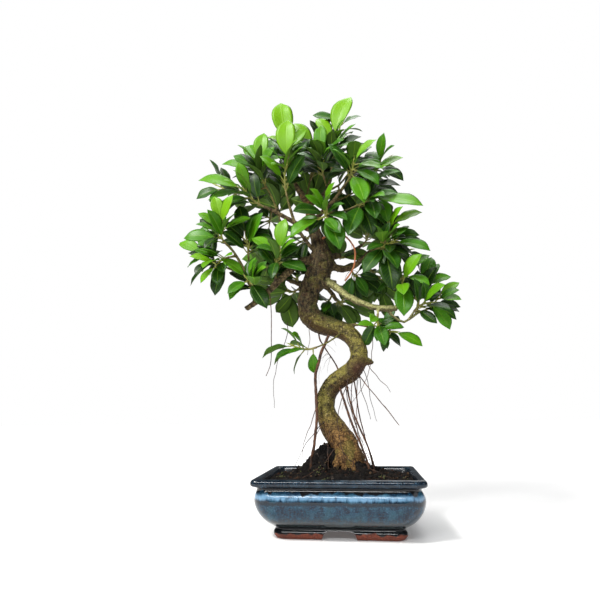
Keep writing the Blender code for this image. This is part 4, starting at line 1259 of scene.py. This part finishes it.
def read_shoot(node):
    """A shoot's stem rings, from the twig outwards, and its leaves as measured from the node's own points."""
    places, neighbours, _ = joined(node)
    leaves = []
    leaf_points = set()
    for i, around in enumerate(neighbours):
        if len(around) != 4:
            continue
        pull = middle_of([(places[j] - places[i]).normalized() for j in around])
        if pull.length < 0.75:
            continue
        upper = around
        middle = set().union(*(neighbours[j] for j in upper)) - upper - {i}
        heel = set().union(*(neighbours[j] for j in middle)) - middle - upper
        foot = set().union(*(neighbours[j] for j in heel)) - heel - middle
        leaf_points |= {i} | upper | middle | heel
        leaves.append((i, sorted(upper), sorted(middle), sorted(heel), sorted(foot)))
    stem = [i for i in range(len(places)) if i not in leaf_points]
    spread = middle_of([places[i] for i in stem])
    far = max(stem, key=lambda i: (places[i] - spread).length)
    axis = (spread - places[far]).normalized()
    stem.sort(key=lambda i: places[i].dot(axis))
    rings = [stem[i : i + 4] for i in range(0, len(stem), 4)]
    if any(set(leaf[4]) == set(rings[0]) for leaf in leaves):
        rings.reverse()
    found = [measure_leaf(places, leaf, rings) for leaf in leaves]
    for leaf in found:
        leaf["order"] = len(rings) - 1 - leaf["order"]
    found.sort(key=lambda leaf: leaf["order"])
    return [middle_of([places[i] for i in ring]) for ring in rings], found


def measure_leaf(places, leaf, rings):
    """Where a leaf's parts are: its foot on the stem, heel, widest part, upper part and tip."""
    tip, upper, middle, heel, foot = leaf
    corners = [places[i] for i in middle]
    pairs = [(a, b) for number, a in enumerate(corners) for b in corners[number + 1 :]]
    left, right = max(pairs, key=lambda pair: (pair[0] - pair[1]).length)
    flat = [place for place in corners if place not in (left, right)]
    heart = middle_of(flat)
    rise = (left + right) / 2 - heart
    order = max(max(n for n, ring in enumerate(rings) if i in ring) for i in foot)
    return {
        "foot": middle_of([places[i] for i in foot]),
        "heel": middle_of([places[i] for i in heel]),
        "middle": heart,
        "upper": middle_of([places[i] for i in upper]),
        "tip": places[tip],
        "side": (right - left).normalized(),
        "up": rise.normalized(),
        "half": (right - left).length / 2,
        "order": order,
    }


def leaf_width(t):
    """The blade's half width at t along it, as a share of the widest."""
    for (low, first), (high, last) in zip(LEAF_OUTLINE, LEAF_OUTLINE[1:]):
        if t <= high:
            share = (t - low) / (high - low)
            share = share * share * (3 - 2 * share) * 0.35 + share * 0.65
            return first + (last - first) * share
    return LEAF_OUTLINE[-1][1]


def pose_leaf(foot, along, length, roll, order):
    """A leaf on a foot, in the directions that the tree's own leaves take."""
    light = LIGHT_SIDE * Vector((1, -1, 1)) if foot.y > BACK else LIGHT_SIDE
    facing = light - along * light.dot(along)
    up = Quaternion(along, roll) @ facing.normalized()
    bow = 4 * LEAF_BOW * length
    parts = {name: foot + along * length * t + up * bow * t * (1 - t) for name, t in LEAF_PARTS}
    return {
        **parts,
        "foot": foot,
        "tip": foot + along * length,
        "side": along.cross(up),
        "up": up,
        "half": LEAF_SLIMNESS * length,
        "order": order,
    }


def leaf_patch(leaf):
    """A coarse sheet in a leaf's place, for testing whether it is free."""
    side = leaf["side"] * leaf["half"]
    start = leaf["foot"].lerp(leaf["heel"], 0.7)
    points = [start, leaf["middle"] - side, leaf["middle"] + side, leaf["upper"] - side * 0.75]
    points += [leaf["upper"] + side * 0.75, leaf["tip"]]
    return points, [(0, 1, 2), (1, 3, 4, 2), (3, 5, 4)]


def more_leaves(rings, length, count, rng, taken, low_end=0.1):
    """Leaves along a shoot, each in the first direction, of some, in which it has room."""
    found = []
    for number in range(count):
        along_stem = low_end + (0.95 - low_end) * (number + rng.random() * 0.6) / count
        order = (1 - along_stem) * count * 2
        position = along_stem * (len(rings) - 1)
        low = min(int(position), len(rings) - 2)
        foot = rings[low].lerp(rings[low + 1], position - low)
        heading = (rings[low + 1] - rings[low]).normalized()
        across = heading.orthogonal().normalized()
        spin = rng.uniform(0, math.tau)
        for attempt in range(TRIES):
            lean = math.radians(rng.uniform(38, 78))
            radial = Quaternion(heading, spin + attempt * LEAF_TURN) @ across
            along = heading * math.cos(lean) + radial * math.sin(lean)
            size = length * rng.uniform(0.78, 1.05) * (1 - 0.02 * attempt)
            leaf = pose_leaf(foot + radial * MM, along, size, rng.uniform(-0.5, 0.5), order)
            patch = BVHTree.FromPolygons(*leaf_patch(leaf))
            if leaf["tip"].z < POT_HIGH.z or any(patch.overlap(tree) for tree in taken):
                continue
            taken.append(patch)
            found.append(leaf)
            break
    return found


def leaf_stations(leaf, growth, curl, skew, half):
    """Steps along a midrib: share of its length, place, ways across and up, and the blade's half width."""
    line = [leaf["heel"].lerp(leaf[part], growth) for part in ("heel", "middle", "upper", "tip")]
    length = (leaf["tip"] - leaf["foot"]).length
    guide = curve(line, 6)
    distances = [0.0]
    for a, b in zip(guide, guide[1:]):
        distances.append(distances[-1] + (b - a).length)
    stations = []
    for number, place in enumerate(guide):
        t = distances[number] / distances[-1]
        direction = direction_at(guide, number)
        side = (leaf["side"] - direction * leaf["side"].dot(direction)).normalized()
        up = direction.cross(side)
        if up.dot(leaf["up"]) < 0:
            up = -up
        bent = place - up * curl * length * t**3 + side * skew * length * 4 * t * (1 - t) * 0.5
        stations.append((t, bent, side, up, half * leaf_width(t)))
    return stations


def add_blade(shape, stations, lift, thickness, tone):
    """A blade's two sides, which meet at its edge and tip. lift is how far it stands out of its plane."""
    tops = []
    bottoms = []
    for t, place, side, up, width in stations[:-1]:
        top = []
        bottom = []
        for v in ACROSS:
            here = place + side * v * width + up * lift(t, v, width)
            values = {"along": t, "across": v, "tone": tone}
            if abs(v) == 1:
                edge = shape.point(here, under=0.3, **values)
                top.append(edge)
                bottom.append(edge)
                continue
            below = thickness * (1 + KEEL * (1 - t)) if abs(v) <= RIB else thickness
            top.append(shape.point(here + up * thickness, under=0, **values))
            bottom.append(shape.point(here - up * below, under=1, **values))
        tops.append(top)
        bottoms.append(bottom)
    for low, high in zip(tops, tops[1:]):
        shape.skin(low, high, closed=False)
    for low, high in zip(bottoms, bottoms[1:]):
        shape.skin(high, low, closed=False)
    tip = shape.point(stations[-1][1], along=1, tone=tone, under=0.3)
    for a, b in zip(tops[-1], tops[-1][1:]):
        shape.face(a, b, tip)
    for a, b in zip(bottoms[-1], bottoms[-1][1:]):
        shape.face(b, a, tip)
    shape.face(tops[0][0], *bottoms[0][1:-1], tops[0][-1], *reversed(tops[0][1:-1]))


def add_stalk(shape, leaf, join, tone):
    """A leaf's round stalk, from inside the stem to where it joins the blade."""
    length = (leaf["tip"] - leaf["foot"]).length
    into = leaf["foot"] + (leaf["foot"] - leaf["heel"]).normalized() * 0.6 * MM
    sag = Vector((0, 0, -0.06)) * length * 0.16
    stalk = curve((into, (leaf["foot"] + leaf["heel"]) / 2 + sag, leaf["heel"], join), 4)
    radii = taper(0.78 * MM, 0.5 * MM, len(stalk))
    shape.tube(stalk, radii, 7, material=1, tone=0.55 + 0.45 * tone)


def add_leaf(shape, leaf, settings, rng, tone):
    """A thin blade, folded along its midrib and bowed, on a round stalk."""
    curl = rng.uniform(0.0, settings.curl)
    fold = rng.uniform(0.55, 1.35) * settings.fold
    waves = rng.uniform(1.5, 3.2)
    phase = rng.uniform(0, math.tau)
    wave_height = rng.uniform(0.02, 0.07)
    skew = rng.uniform(-0.06, 0.06)
    half = leaf["half"] * rng.uniform(1.0, 1.12)

    def lift(t, v, width):
        shift = 1.7 if v > 0 else 0
        ripple = wave_height * half * abs(v) ** 2 * math.sin(waves * math.tau * t + phase + shift)
        return fold * width * abs(v) ** 1.25 + ripple * math.sin(math.pi * t)

    stations = leaf_stations(leaf, settings.growth, curl, skew, half)
    add_blade(shape, stations, lift, settings.leaf_thickness / 2, tone)
    add_stalk(shape, leaf, stations[1][1], tone)


def add_stem(shape, rings, rng):
    """The shoot's round stem, swollen at each leaf, with a pointed bud at its end."""
    start = rings[0] + (rings[0] - rings[1]).normalized() * 1.6 * MM
    line = curve([start, *rings], 4)
    radii = []
    for i in range(len(line)):
        swelling = 0.14 * max(0, math.cos(math.tau * (i / 4 - 0.25))) ** 4
        radii.append((1.12 - 0.3 * i / len(line) + swelling) * MM)
    first = len(shape.points)
    shape.tube(line, radii, 9, material=1, rough=0.08)
    made = len(shape.points) - first
    for i in range(made):
        shape.values["tone"][first + i] = min(1, i / made * 1.2)
    heading = (rings[-1] - rings[-2]).normalized()
    side = heading.orthogonal().normalized() * rng.uniform(-1, 1) * MM
    end = rings[-1]
    bud = curve((end - heading * MM, end + heading * 3 * MM, end + heading * 8 * MM + side), 4)
    shape.tube(bud, [radius * MM for radius in BUD], 8, material=1, tone=0.9)


def painted_leaf_shade(place, crown):
    """How many leaves stand between a place and the light, for painted shade that darkens the leaves beneath
    others.
    """
    total = 0
    for other in crown:
        away = other - place
        ahead = away.dot(LIGHT_SIDE)
        if SHADE_NEAR < ahead < SHADE_FAR:
            total += math.exp(-(away - LIGHT_SIDE * ahead).length_squared / SHADE_WIDTH**2)
    return min(total, SHADE_MOST)


def make_shoots(settings):
    """Every leafy shoot: stem, bud, stalks and leaves."""
    leaf_material = leaf_paint(settings)
    stem_material = stem_paint(settings)
    taken = [node_surface(node) for node in (*SHOOTS, *WOOD)]
    grown = []
    for number, node in enumerate(SHOOTS):
        rng = random.Random(100 + number)
        rings, leaves = read_shoot(node)
        length = sorted((leaf["tip"] - leaf["foot"]).length for leaf in leaves)[len(leaves) // 2]
        leaves += more_leaves(rings, length, round(len(leaves) * settings.more), rng, taken)
        grown.append((node, rings, leaves, rng))
    wood = {node: node_surface(node) for node in WOOD}
    for number, tuft in enumerate(TUFTS):
        rng = random.Random(300 + number)
        tip = at(*tuft)
        node = min(WOOD, key=lambda name: (wood[name].find_nearest(tip)[3], name))
        start = wood[node].find_nearest(tip)[0]
        sag = Vector((0, 0, -0.12)) * (tip - start).length
        rings = curve([start, start.lerp(tip, 0.5) + sag, tip], 4)
        leaves = more_leaves(rings, INNER_LEAF, INNER_LEAVES, rng, taken, low_end=0.35)
        grown.append((node, rings, leaves, rng))
    crown = [leaf["middle"] for _, _, leaves, _ in grown for leaf in leaves]
    for node, rings, leaves, rng in grown:
        shape = Shape("along", "across", "tone", "under")
        add_stem(shape, rings, rng)
        inner = node not in SHOOTS
        youth = 0.0 if inner else YOUTH.get(node, USUAL_YOUTH)
        for leaf in leaves:
            age = math.exp(-leaf["order"] / 2.6)
            tone = 0.4 + youth * age * 0.7 + rng.uniform(-0.24, 0.34)
            # Painted shade: each leaf towards the light darkens a leaf, and the leaves of the inner tufts are
            # darker still
            tone -= settings.inner_shade * painted_leaf_shade(leaf["middle"], crown) + 0.2 * inner
            add_leaf(shape, leaf, settings, rng, clamped(tone))
        name = "inner_shoot_on_" + node if inner else node.replace("shoot", "leafy_shoot")
        settle(shape.piece(name, [leaf_material, stem_material]), "leaf", node)


# ---------------------------------------------------------------- stage


def aim(thing, target):
    """Turns a light's or a camera's -Z axis to a place."""
    thing.rotation_euler = (target - thing.location).to_track_quat("-Z", "Y").to_euler()


def add_light(name, place, target, size, power, colour):
    light = bpy.data.lights.new(name, "AREA")
    light.shape = "RECTANGLE"
    light.size, light.size_y = size
    light.energy = power
    light.color = colour
    made = bpy.data.objects.new(name, light)
    bpy.context.scene.collection.objects.link(made)
    made.location = place
    aim(made, target)


def make_camera(settings):
    """The camera, at a little over the pot's rim and looking up at the crown."""
    lens = bpy.data.cameras.new("camera")
    lens.lens = settings.lens
    lens.sensor_width = 36
    camera = bpy.data.objects.new("camera", lens)
    bpy.context.scene.collection.objects.link(camera)
    pan, tilt, roll = settings.pan, settings.tilt, settings.roll
    ahead = Vector((math.sin(pan) * math.cos(tilt), math.cos(pan) * math.cos(tilt), math.sin(tilt)))
    level = Vector((math.cos(pan), -math.sin(pan), 0))
    upright = level.cross(ahead)
    right = level * math.cos(roll) + upright * math.sin(roll)
    up = upright * math.cos(roll) - level * math.sin(roll)
    turn = Matrix((right, up, -ahead)).transposed().to_4x4()
    camera.matrix_world = Matrix.Translation(POT_MIDDLE + Vector(settings.camera_place)) @ turn
    bpy.context.scene.camera = camera


def make_surround(settings):
    """A surround that looks white and gives a faint even light."""
    world = bpy.data.worlds.new("white_surround")
    world.use_nodes = True
    nodes = world.node_tree.nodes
    links = world.node_tree.links
    light = nodes["Background"]
    light.inputs["Color"].default_value = (*settings.surround, 1)
    light.inputs["Strength"].default_value = settings.surround_strength
    backdrop = nodes.new("ShaderNodeBackground")
    backdrop.inputs["Color"].default_value = (1, 1, 1, 1)
    sight = nodes.new("ShaderNodeLightPath")
    either = nodes.new("ShaderNodeMixShader")
    links.new(sight.outputs["Is Camera Ray"], either.inputs[0])
    links.new(light.outputs[0], either.inputs[1])
    links.new(backdrop.outputs[0], either.inputs[2])
    links.new(either.outputs[0], nodes["World Output"].inputs["Surface"])
    bpy.context.scene.world = world
    bpy.context.scene.view_settings.view_transform = "Standard"


def make_stage(settings):
    """A wide pale floor, soft studio lights and a white surround."""
    shape = Shape()
    corners = [Vector((x, y, 0)) * FLOOR_REACH for x, y in ((-1, -1), (1, -1), (1, 1), (-1, 1))]
    shape.face(*(shape.point(corner) for corner in corners))
    floor = shape.piece("floor", [floor_paint(settings)])
    for name, middle, away, size, watts, colour in LAMPS:
        target = POT_MIDDLE + middle
        add_light(name, target + Vector(away), target, size, watts * settings.light_power, colour)
    make_surround(settings)


# ---------------------------------------------------------------- settings


def colour_property(name, description, value):
    return bpy.props.FloatVectorProperty(
        name=name, description=description, default=value, size=3, min=0, max=1, subtype="COLOR"
    )


def length_property(name, description, value):
    return bpy.props.FloatProperty(
        name=name, description=description, default=value, min=0, unit="LENGTH", precision=5
    )


def angle_property(name, description, degrees):
    return bpy.props.FloatProperty(
        name=name, description=description, default=math.radians(degrees), unit="ROTATION"
    )


def share_property(name, description, value):
    return bpy.props.FloatProperty(name=name, description=description, default=value, min=0)


def count_property(name, description, value):
    return bpy.props.IntProperty(name=name, description=description, default=value, min=0)


class PotSettings(bpy.types.PropertyGroup):
    unevenness: length_property("Unevenness", "How far the thrown wall strays from true", 0.35 * MM)
    edge_round: length_property("Edge round", "Width of the soft edges of the arches and holes", 0.5 * MM)
    belly_dark: colour_property("Belly, dark", "Deep glaze on the belly", (0.0015, 0.008, 0.022))
    belly_light: colour_property("Belly, light", "Thin glaze on the belly", (0.018, 0.082, 0.145))
    belly_cloud: colour_property("Belly, clouds", "Teal clouds on the belly", (0.012, 0.05, 0.06))
    hem_dark: colour_property("Hem, dark", "Lower belly where the glaze thins", (0.006, 0.009, 0.011))
    hem_light: colour_property("Hem, light", "Grey olive flecks on the lower belly", (0.042, 0.052, 0.052))
    shoulder_colour: colour_property("Shoulder", "Light blue band on the shoulder", (0.13, 0.25, 0.38))
    drip_colour: colour_property("Drips", "Brown glaze in the groove and inside", (0.004, 0.004, 0.005))
    rim_colour: colour_property("Rim", "Glaze on the rolled rim", (0.0025, 0.006, 0.012))
    rim_light: colour_property("Rim, light", "Where the rim's glaze is thin", (0.06, 0.12, 0.18))
    speck_colour: colour_property("Specks", "Pale specks in the glaze", (0.25, 0.38, 0.45))
    foot_colour: colour_property("Foot", "Dark glaze on the foot", (0.003, 0.004, 0.006))
    clay_dark: colour_property("Clay, dark", "Scorched clay under the foot", (0.045, 0.013, 0.009))
    clay_light: colour_property("Clay, light", "Bare clay under the foot", (0.3, 0.07, 0.035))


class SoilSettings(bpy.types.PropertyGroup):
    crumb_count: count_property("Crumbs", "Loose crumbs on the soil", 1500)
    moss_count: count_property("Moss", "Clumps of dry moss on the soil", 16)
    soil_dark: colour_property("Soil, dark", "Damp peat", (0.002, 0.0018, 0.0019))
    soil_light: colour_property("Soil, light", "Drier peat", (0.011, 0.009, 0.008))
    fibre_colour: colour_property("Fibres", "Brown fibres", (0.03, 0.017, 0.011))
    grit_colour: colour_property("Grit", "Pale grit", (0.07, 0.055, 0.045))


class WoodSettings(bpy.types.PropertyGroup):
    bark_step: length_property("Bark step", "Spacing of the bark's points", 0.72 * MM)
    olive_dark: colour_property("Olive, dark", "Shaded bark on the bends", (0.022, 0.016, 0.004))
    olive_light: colour_property("Olive, light", "Green-yellow bark on the bends", (0.19, 0.165, 0.032))
    tan_speck: colour_property("Tan specks", "Corky specks", (0.38, 0.3, 0.13))
    # red_brown is the colour of the nets and scars, and also the painted shade on the bark's undersides
    red_brown: colour_property("Red brown", "Underside of the bends, nets and scars", (0.04, 0.013, 0.006))
    gold_dark: colour_property("Gold, dark", "Mottles at the base", (0.04, 0.018, 0.006))
    gold_light: colour_property("Gold, light", "Golden bark at the base", (0.25, 0.135, 0.042))
    grey_dark: colour_property("Grey, dark", "Cracks in the old bark", (0.008, 0.006, 0.003))
    grey_light: colour_property("Grey, light", "Faces of the old bark", (0.1, 0.074, 0.034))
    rust_dark: colour_property("Rust, dark", "Between the rings of the upper trunk", (0.05, 0.018, 0.007))
    rust_light: colour_property("Rust, light", "Rings of the upper trunk", (0.26, 0.11, 0.04))
    twig_dark: colour_property("Twig, dark", "Young bark in shade", (0.022, 0.013, 0.006))
    twig_light: colour_property("Twig, light", "Young bark", (0.17, 0.125, 0.055))
    stem_colour: colour_property("Green wood", "Wood that is still green", (0.12, 0.12, 0.02))
    cream: colour_property("Cream", "Peeled bark of the low right branch", (0.42, 0.42, 0.17))
    moss_colour: colour_property("Moss", "Moss in the old bark", (0.06, 0.075, 0.018))


class RootSettings(bpy.types.PropertyGroup):
    hair_size: share_property("Hair roots", "Thickness over that in the table", 1.45)
    rootlets: count_property("Rootlets", "Fine rootlets on each thick root", 5)
    root_dark: colour_property("Root, dark", "Shaded root bark", (0.02, 0.008, 0.004))
    root_light: colour_property("Root, light", "Reddish root bark", (0.09, 0.032, 0.01))
    root_hair: colour_property("Hair root", "Dry hair roots", (0.018, 0.009, 0.005))
    root_warm: colour_property("Root, warm", "Orange bark of the looping root", (0.27, 0.085, 0.025))
    root_pale: colour_property("Root, worn", "Worn root bark", (0.14, 0.07, 0.027))


class LeafSettings(bpy.types.PropertyGroup):
    leaf_thickness: length_property("Thickness", "Thickness of a leaf blade", 0.36 * MM)
    fold: share_property("Fold", "Rise of the blade's halves, over their width", 0.22)
    more: share_property("More leaves", "Leaves added to a shoot, over those in the frame", 0.85)
    # Painted shade: how much each leaf towards the light darkens a leaf's tone
    inner_shade: share_property("Inner shade", "How much older each leaf above makes a leaf look", 0.13)
    growth: share_property("Growth", "Length of the blades over the frame's", 1.06)
    curl: share_property("Curl", "Most that a tip bends down, over the leaf's length", 0.07)
    # The darkest leaf colour stands for the oldest leaves and for the painted shade of leaves beneath others
    shade_colour: colour_property("Leaf, darkest", "Oldest leaves", (0.004, 0.02, 0.0005))
    old_colour: colour_property("Leaf, old", "Old leaves", (0.015, 0.075, 0.001))
    grown_colour: colour_property("Leaf, grown", "Grown leaves", (0.042, 0.16, 0.0012))
    young_colour: colour_property("Leaf, young", "Young leaves", (0.085, 0.24, 0.0015))
    new_colour: colour_property("Leaf, new", "Newest leaves", (0.115, 0.27, 0.002))
    vein_colour: colour_property("Veins", "Side veins and margin", (0.085, 0.2, 0.006))
    rib_colour: colour_property("Midrib", "Midrib", (0.15, 0.28, 0.02))
    under_colour: colour_property("Underside", "Paler underside", (0.085, 0.16, 0.02))
    stem_old: colour_property("Stem, old", "Shoot stems near the twig", (0.1, 0.06, 0.02))
    stem_young: colour_property("Stem, young", "Shoot stems near the tip, and stalks", (0.22, 0.26, 0.035))

    def stops(self):
        """Ramp stops from the darkest colour, of old leaves and of leaves in painted shade, to the newest
        leaf's colour.
        """
        colours = (self.shade_colour, self.old_colour, self.grown_colour, self.young_colour, self.new_colour)
        return [(i / 4, tuple(colour)) for i, colour in enumerate(colours)]


class StageSettings(bpy.types.PropertyGroup):
    camera_place: bpy.props.FloatVectorProperty(
        name="Camera place",
        description="From the middle of the pot's foot",
        default=(0.029, -0.484, 0.105),
        size=3,
        unit="LENGTH",
    )
    lens: share_property("Lens", "Focal length in millimetres", 28.2)
    pan: angle_property("Pan", "Turn to the right of straight on to the pot's long side", -7.8)
    tilt: angle_property("Tilt", "Turn upwards", 13.8)
    roll: angle_property("Roll", "Lean", -0.75)
    light_power: share_property("Light", "Share of each lamp's power", 1.0)
    floor_colour: colour_property("Floor", "Pale floor", (0.9, 0.9, 0.9))
    surround: colour_property("Surround", "Light that comes from all round", (1.0, 1.0, 1.0))
    surround_strength: share_property("Surround light", "Strength of the surround's light", 0.08)


# ---------------------------------------------------------------- operators


class BONSAI_OT_pot(bpy.types.Operator):
    """Make the glazed pot"""

    bl_idname = "bonsai.pot"
    bl_label = "Glazed pot"

    def execute(self, context):
        make_pot(context.scene.bonsai_pot)
        return {"FINISHED"}


class BONSAI_OT_screens(bpy.types.Operator):
    """Give the drain screens their plastic"""

    bl_idname = "bonsai.screens"
    bl_label = "Drain screens"

    def execute(self, context):
        paint = plastic_paint()
        for side in ("left", "right"):
            coat(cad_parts["drain_screen_" + side].data, paint)
        return {"FINISHED"}


class BONSAI_OT_soil(bpy.types.Operator):
    """Make the soil bed"""

    bl_idname = "bonsai.soil"
    bl_label = "Soil"

    def execute(self, context):
        make_soil(context.scene.bonsai_soil)
        return {"FINISHED"}


class BONSAI_OT_litter(bpy.types.Operator):
    """Scatter crumbs and moss on the soil"""

    bl_idname = "bonsai.litter"
    bl_label = "Crumbs and moss"

    def execute(self, context):
        make_litter(context.scene.bonsai_soil)
        return {"FINISHED"}


class BONSAI_OT_wood(bpy.types.Operator):
    """Grow the trunk and branches together under one bark"""

    bl_idname = "bonsai.wood"
    bl_label = "Trunk and branches"

    def execute(self, context):
        make_wood(context.scene.bonsai_wood)
        return {"FINISHED"}


class BONSAI_OT_roots(bpy.types.Operator):
    """Make the aerial roots"""

    bl_idname = "bonsai.roots"
    bl_label = "Aerial roots"

    def execute(self, context):
        make_roots(context.scene.bonsai_roots)
        return {"FINISHED"}


class BONSAI_OT_hair_roots(bpy.types.Operator):
    """Make the hair roots"""

    bl_idname = "bonsai.hair_roots"
    bl_label = "Hair roots"

    def execute(self, context):
        make_hair_roots(context.scene.bonsai_roots)
        return {"FINISHED"}


class BONSAI_OT_shoots(bpy.types.Operator):
    """Make every leafy shoot"""

    bl_idname = "bonsai.shoots"
    bl_label = "Leafy shoots"

    def execute(self, context):
        make_shoots(context.scene.bonsai_leaves)
        return {"FINISHED"}


class BONSAI_OT_stage(bpy.types.Operator):
    """Set up the floor, the lights and the camera"""

    bl_idname = "bonsai.stage"
    bl_label = "Stage"

    def execute(self, context):
        make_camera(context.scene.bonsai_stage)
        make_stage(context.scene.bonsai_stage)
        return {"FINISHED"}


class BONSAI_PT_panel(bpy.types.Panel):
    """Lists the makers and their settings"""

    bl_label = "Bonsai"
    bl_idname = "BONSAI_PT_panel"
    bl_space_type = "VIEW_3D"
    bl_region_type = "UI"
    bl_category = "Bonsai"

    def draw(self, context):
        for operator in OPERATORS:
            self.layout.operator(operator.bl_idname)
        for name in SETTINGS:
            group = getattr(context.scene, name)
            column = self.layout.column(heading=name.split("_")[1].title())
            for key in group.bl_rna.properties.keys():
                if key not in ("rna_type", "name"):
                    column.prop(group, key)


OPERATORS = (
    BONSAI_OT_stage, BONSAI_OT_pot, BONSAI_OT_screens, BONSAI_OT_soil, BONSAI_OT_litter, BONSAI_OT_wood,
    BONSAI_OT_roots, BONSAI_OT_hair_roots, BONSAI_OT_shoots,
)
SETTINGS = {
    "bonsai_pot": PotSettings,
    "bonsai_soil": SoilSettings,
    "bonsai_wood": WoodSettings,
    "bonsai_roots": RootSettings,
    "bonsai_leaves": LeafSettings,
    "bonsai_stage": StageSettings,
}


def register():
    for name, group in SETTINGS.items():
        bpy.utils.register_class(group)
        setattr(bpy.types.Scene, name, bpy.props.PointerProperty(type=group))
    for made in (*OPERATORS, BONSAI_PT_panel):
        bpy.utils.register_class(made)


def unregister():
    for made in (BONSAI_PT_panel, *reversed(OPERATORS)):
        bpy.utils.unregister_class(made)
    for name, group in reversed(SETTINGS.items()):
        delattr(bpy.types.Scene, name)
        bpy.utils.unregister_class(group)


def main():
    register()
    for operator in OPERATORS:
        getattr(bpy.ops.bonsai, operator.bl_idname.split(".")[1])()


if __name__ == "__main__":
    main()
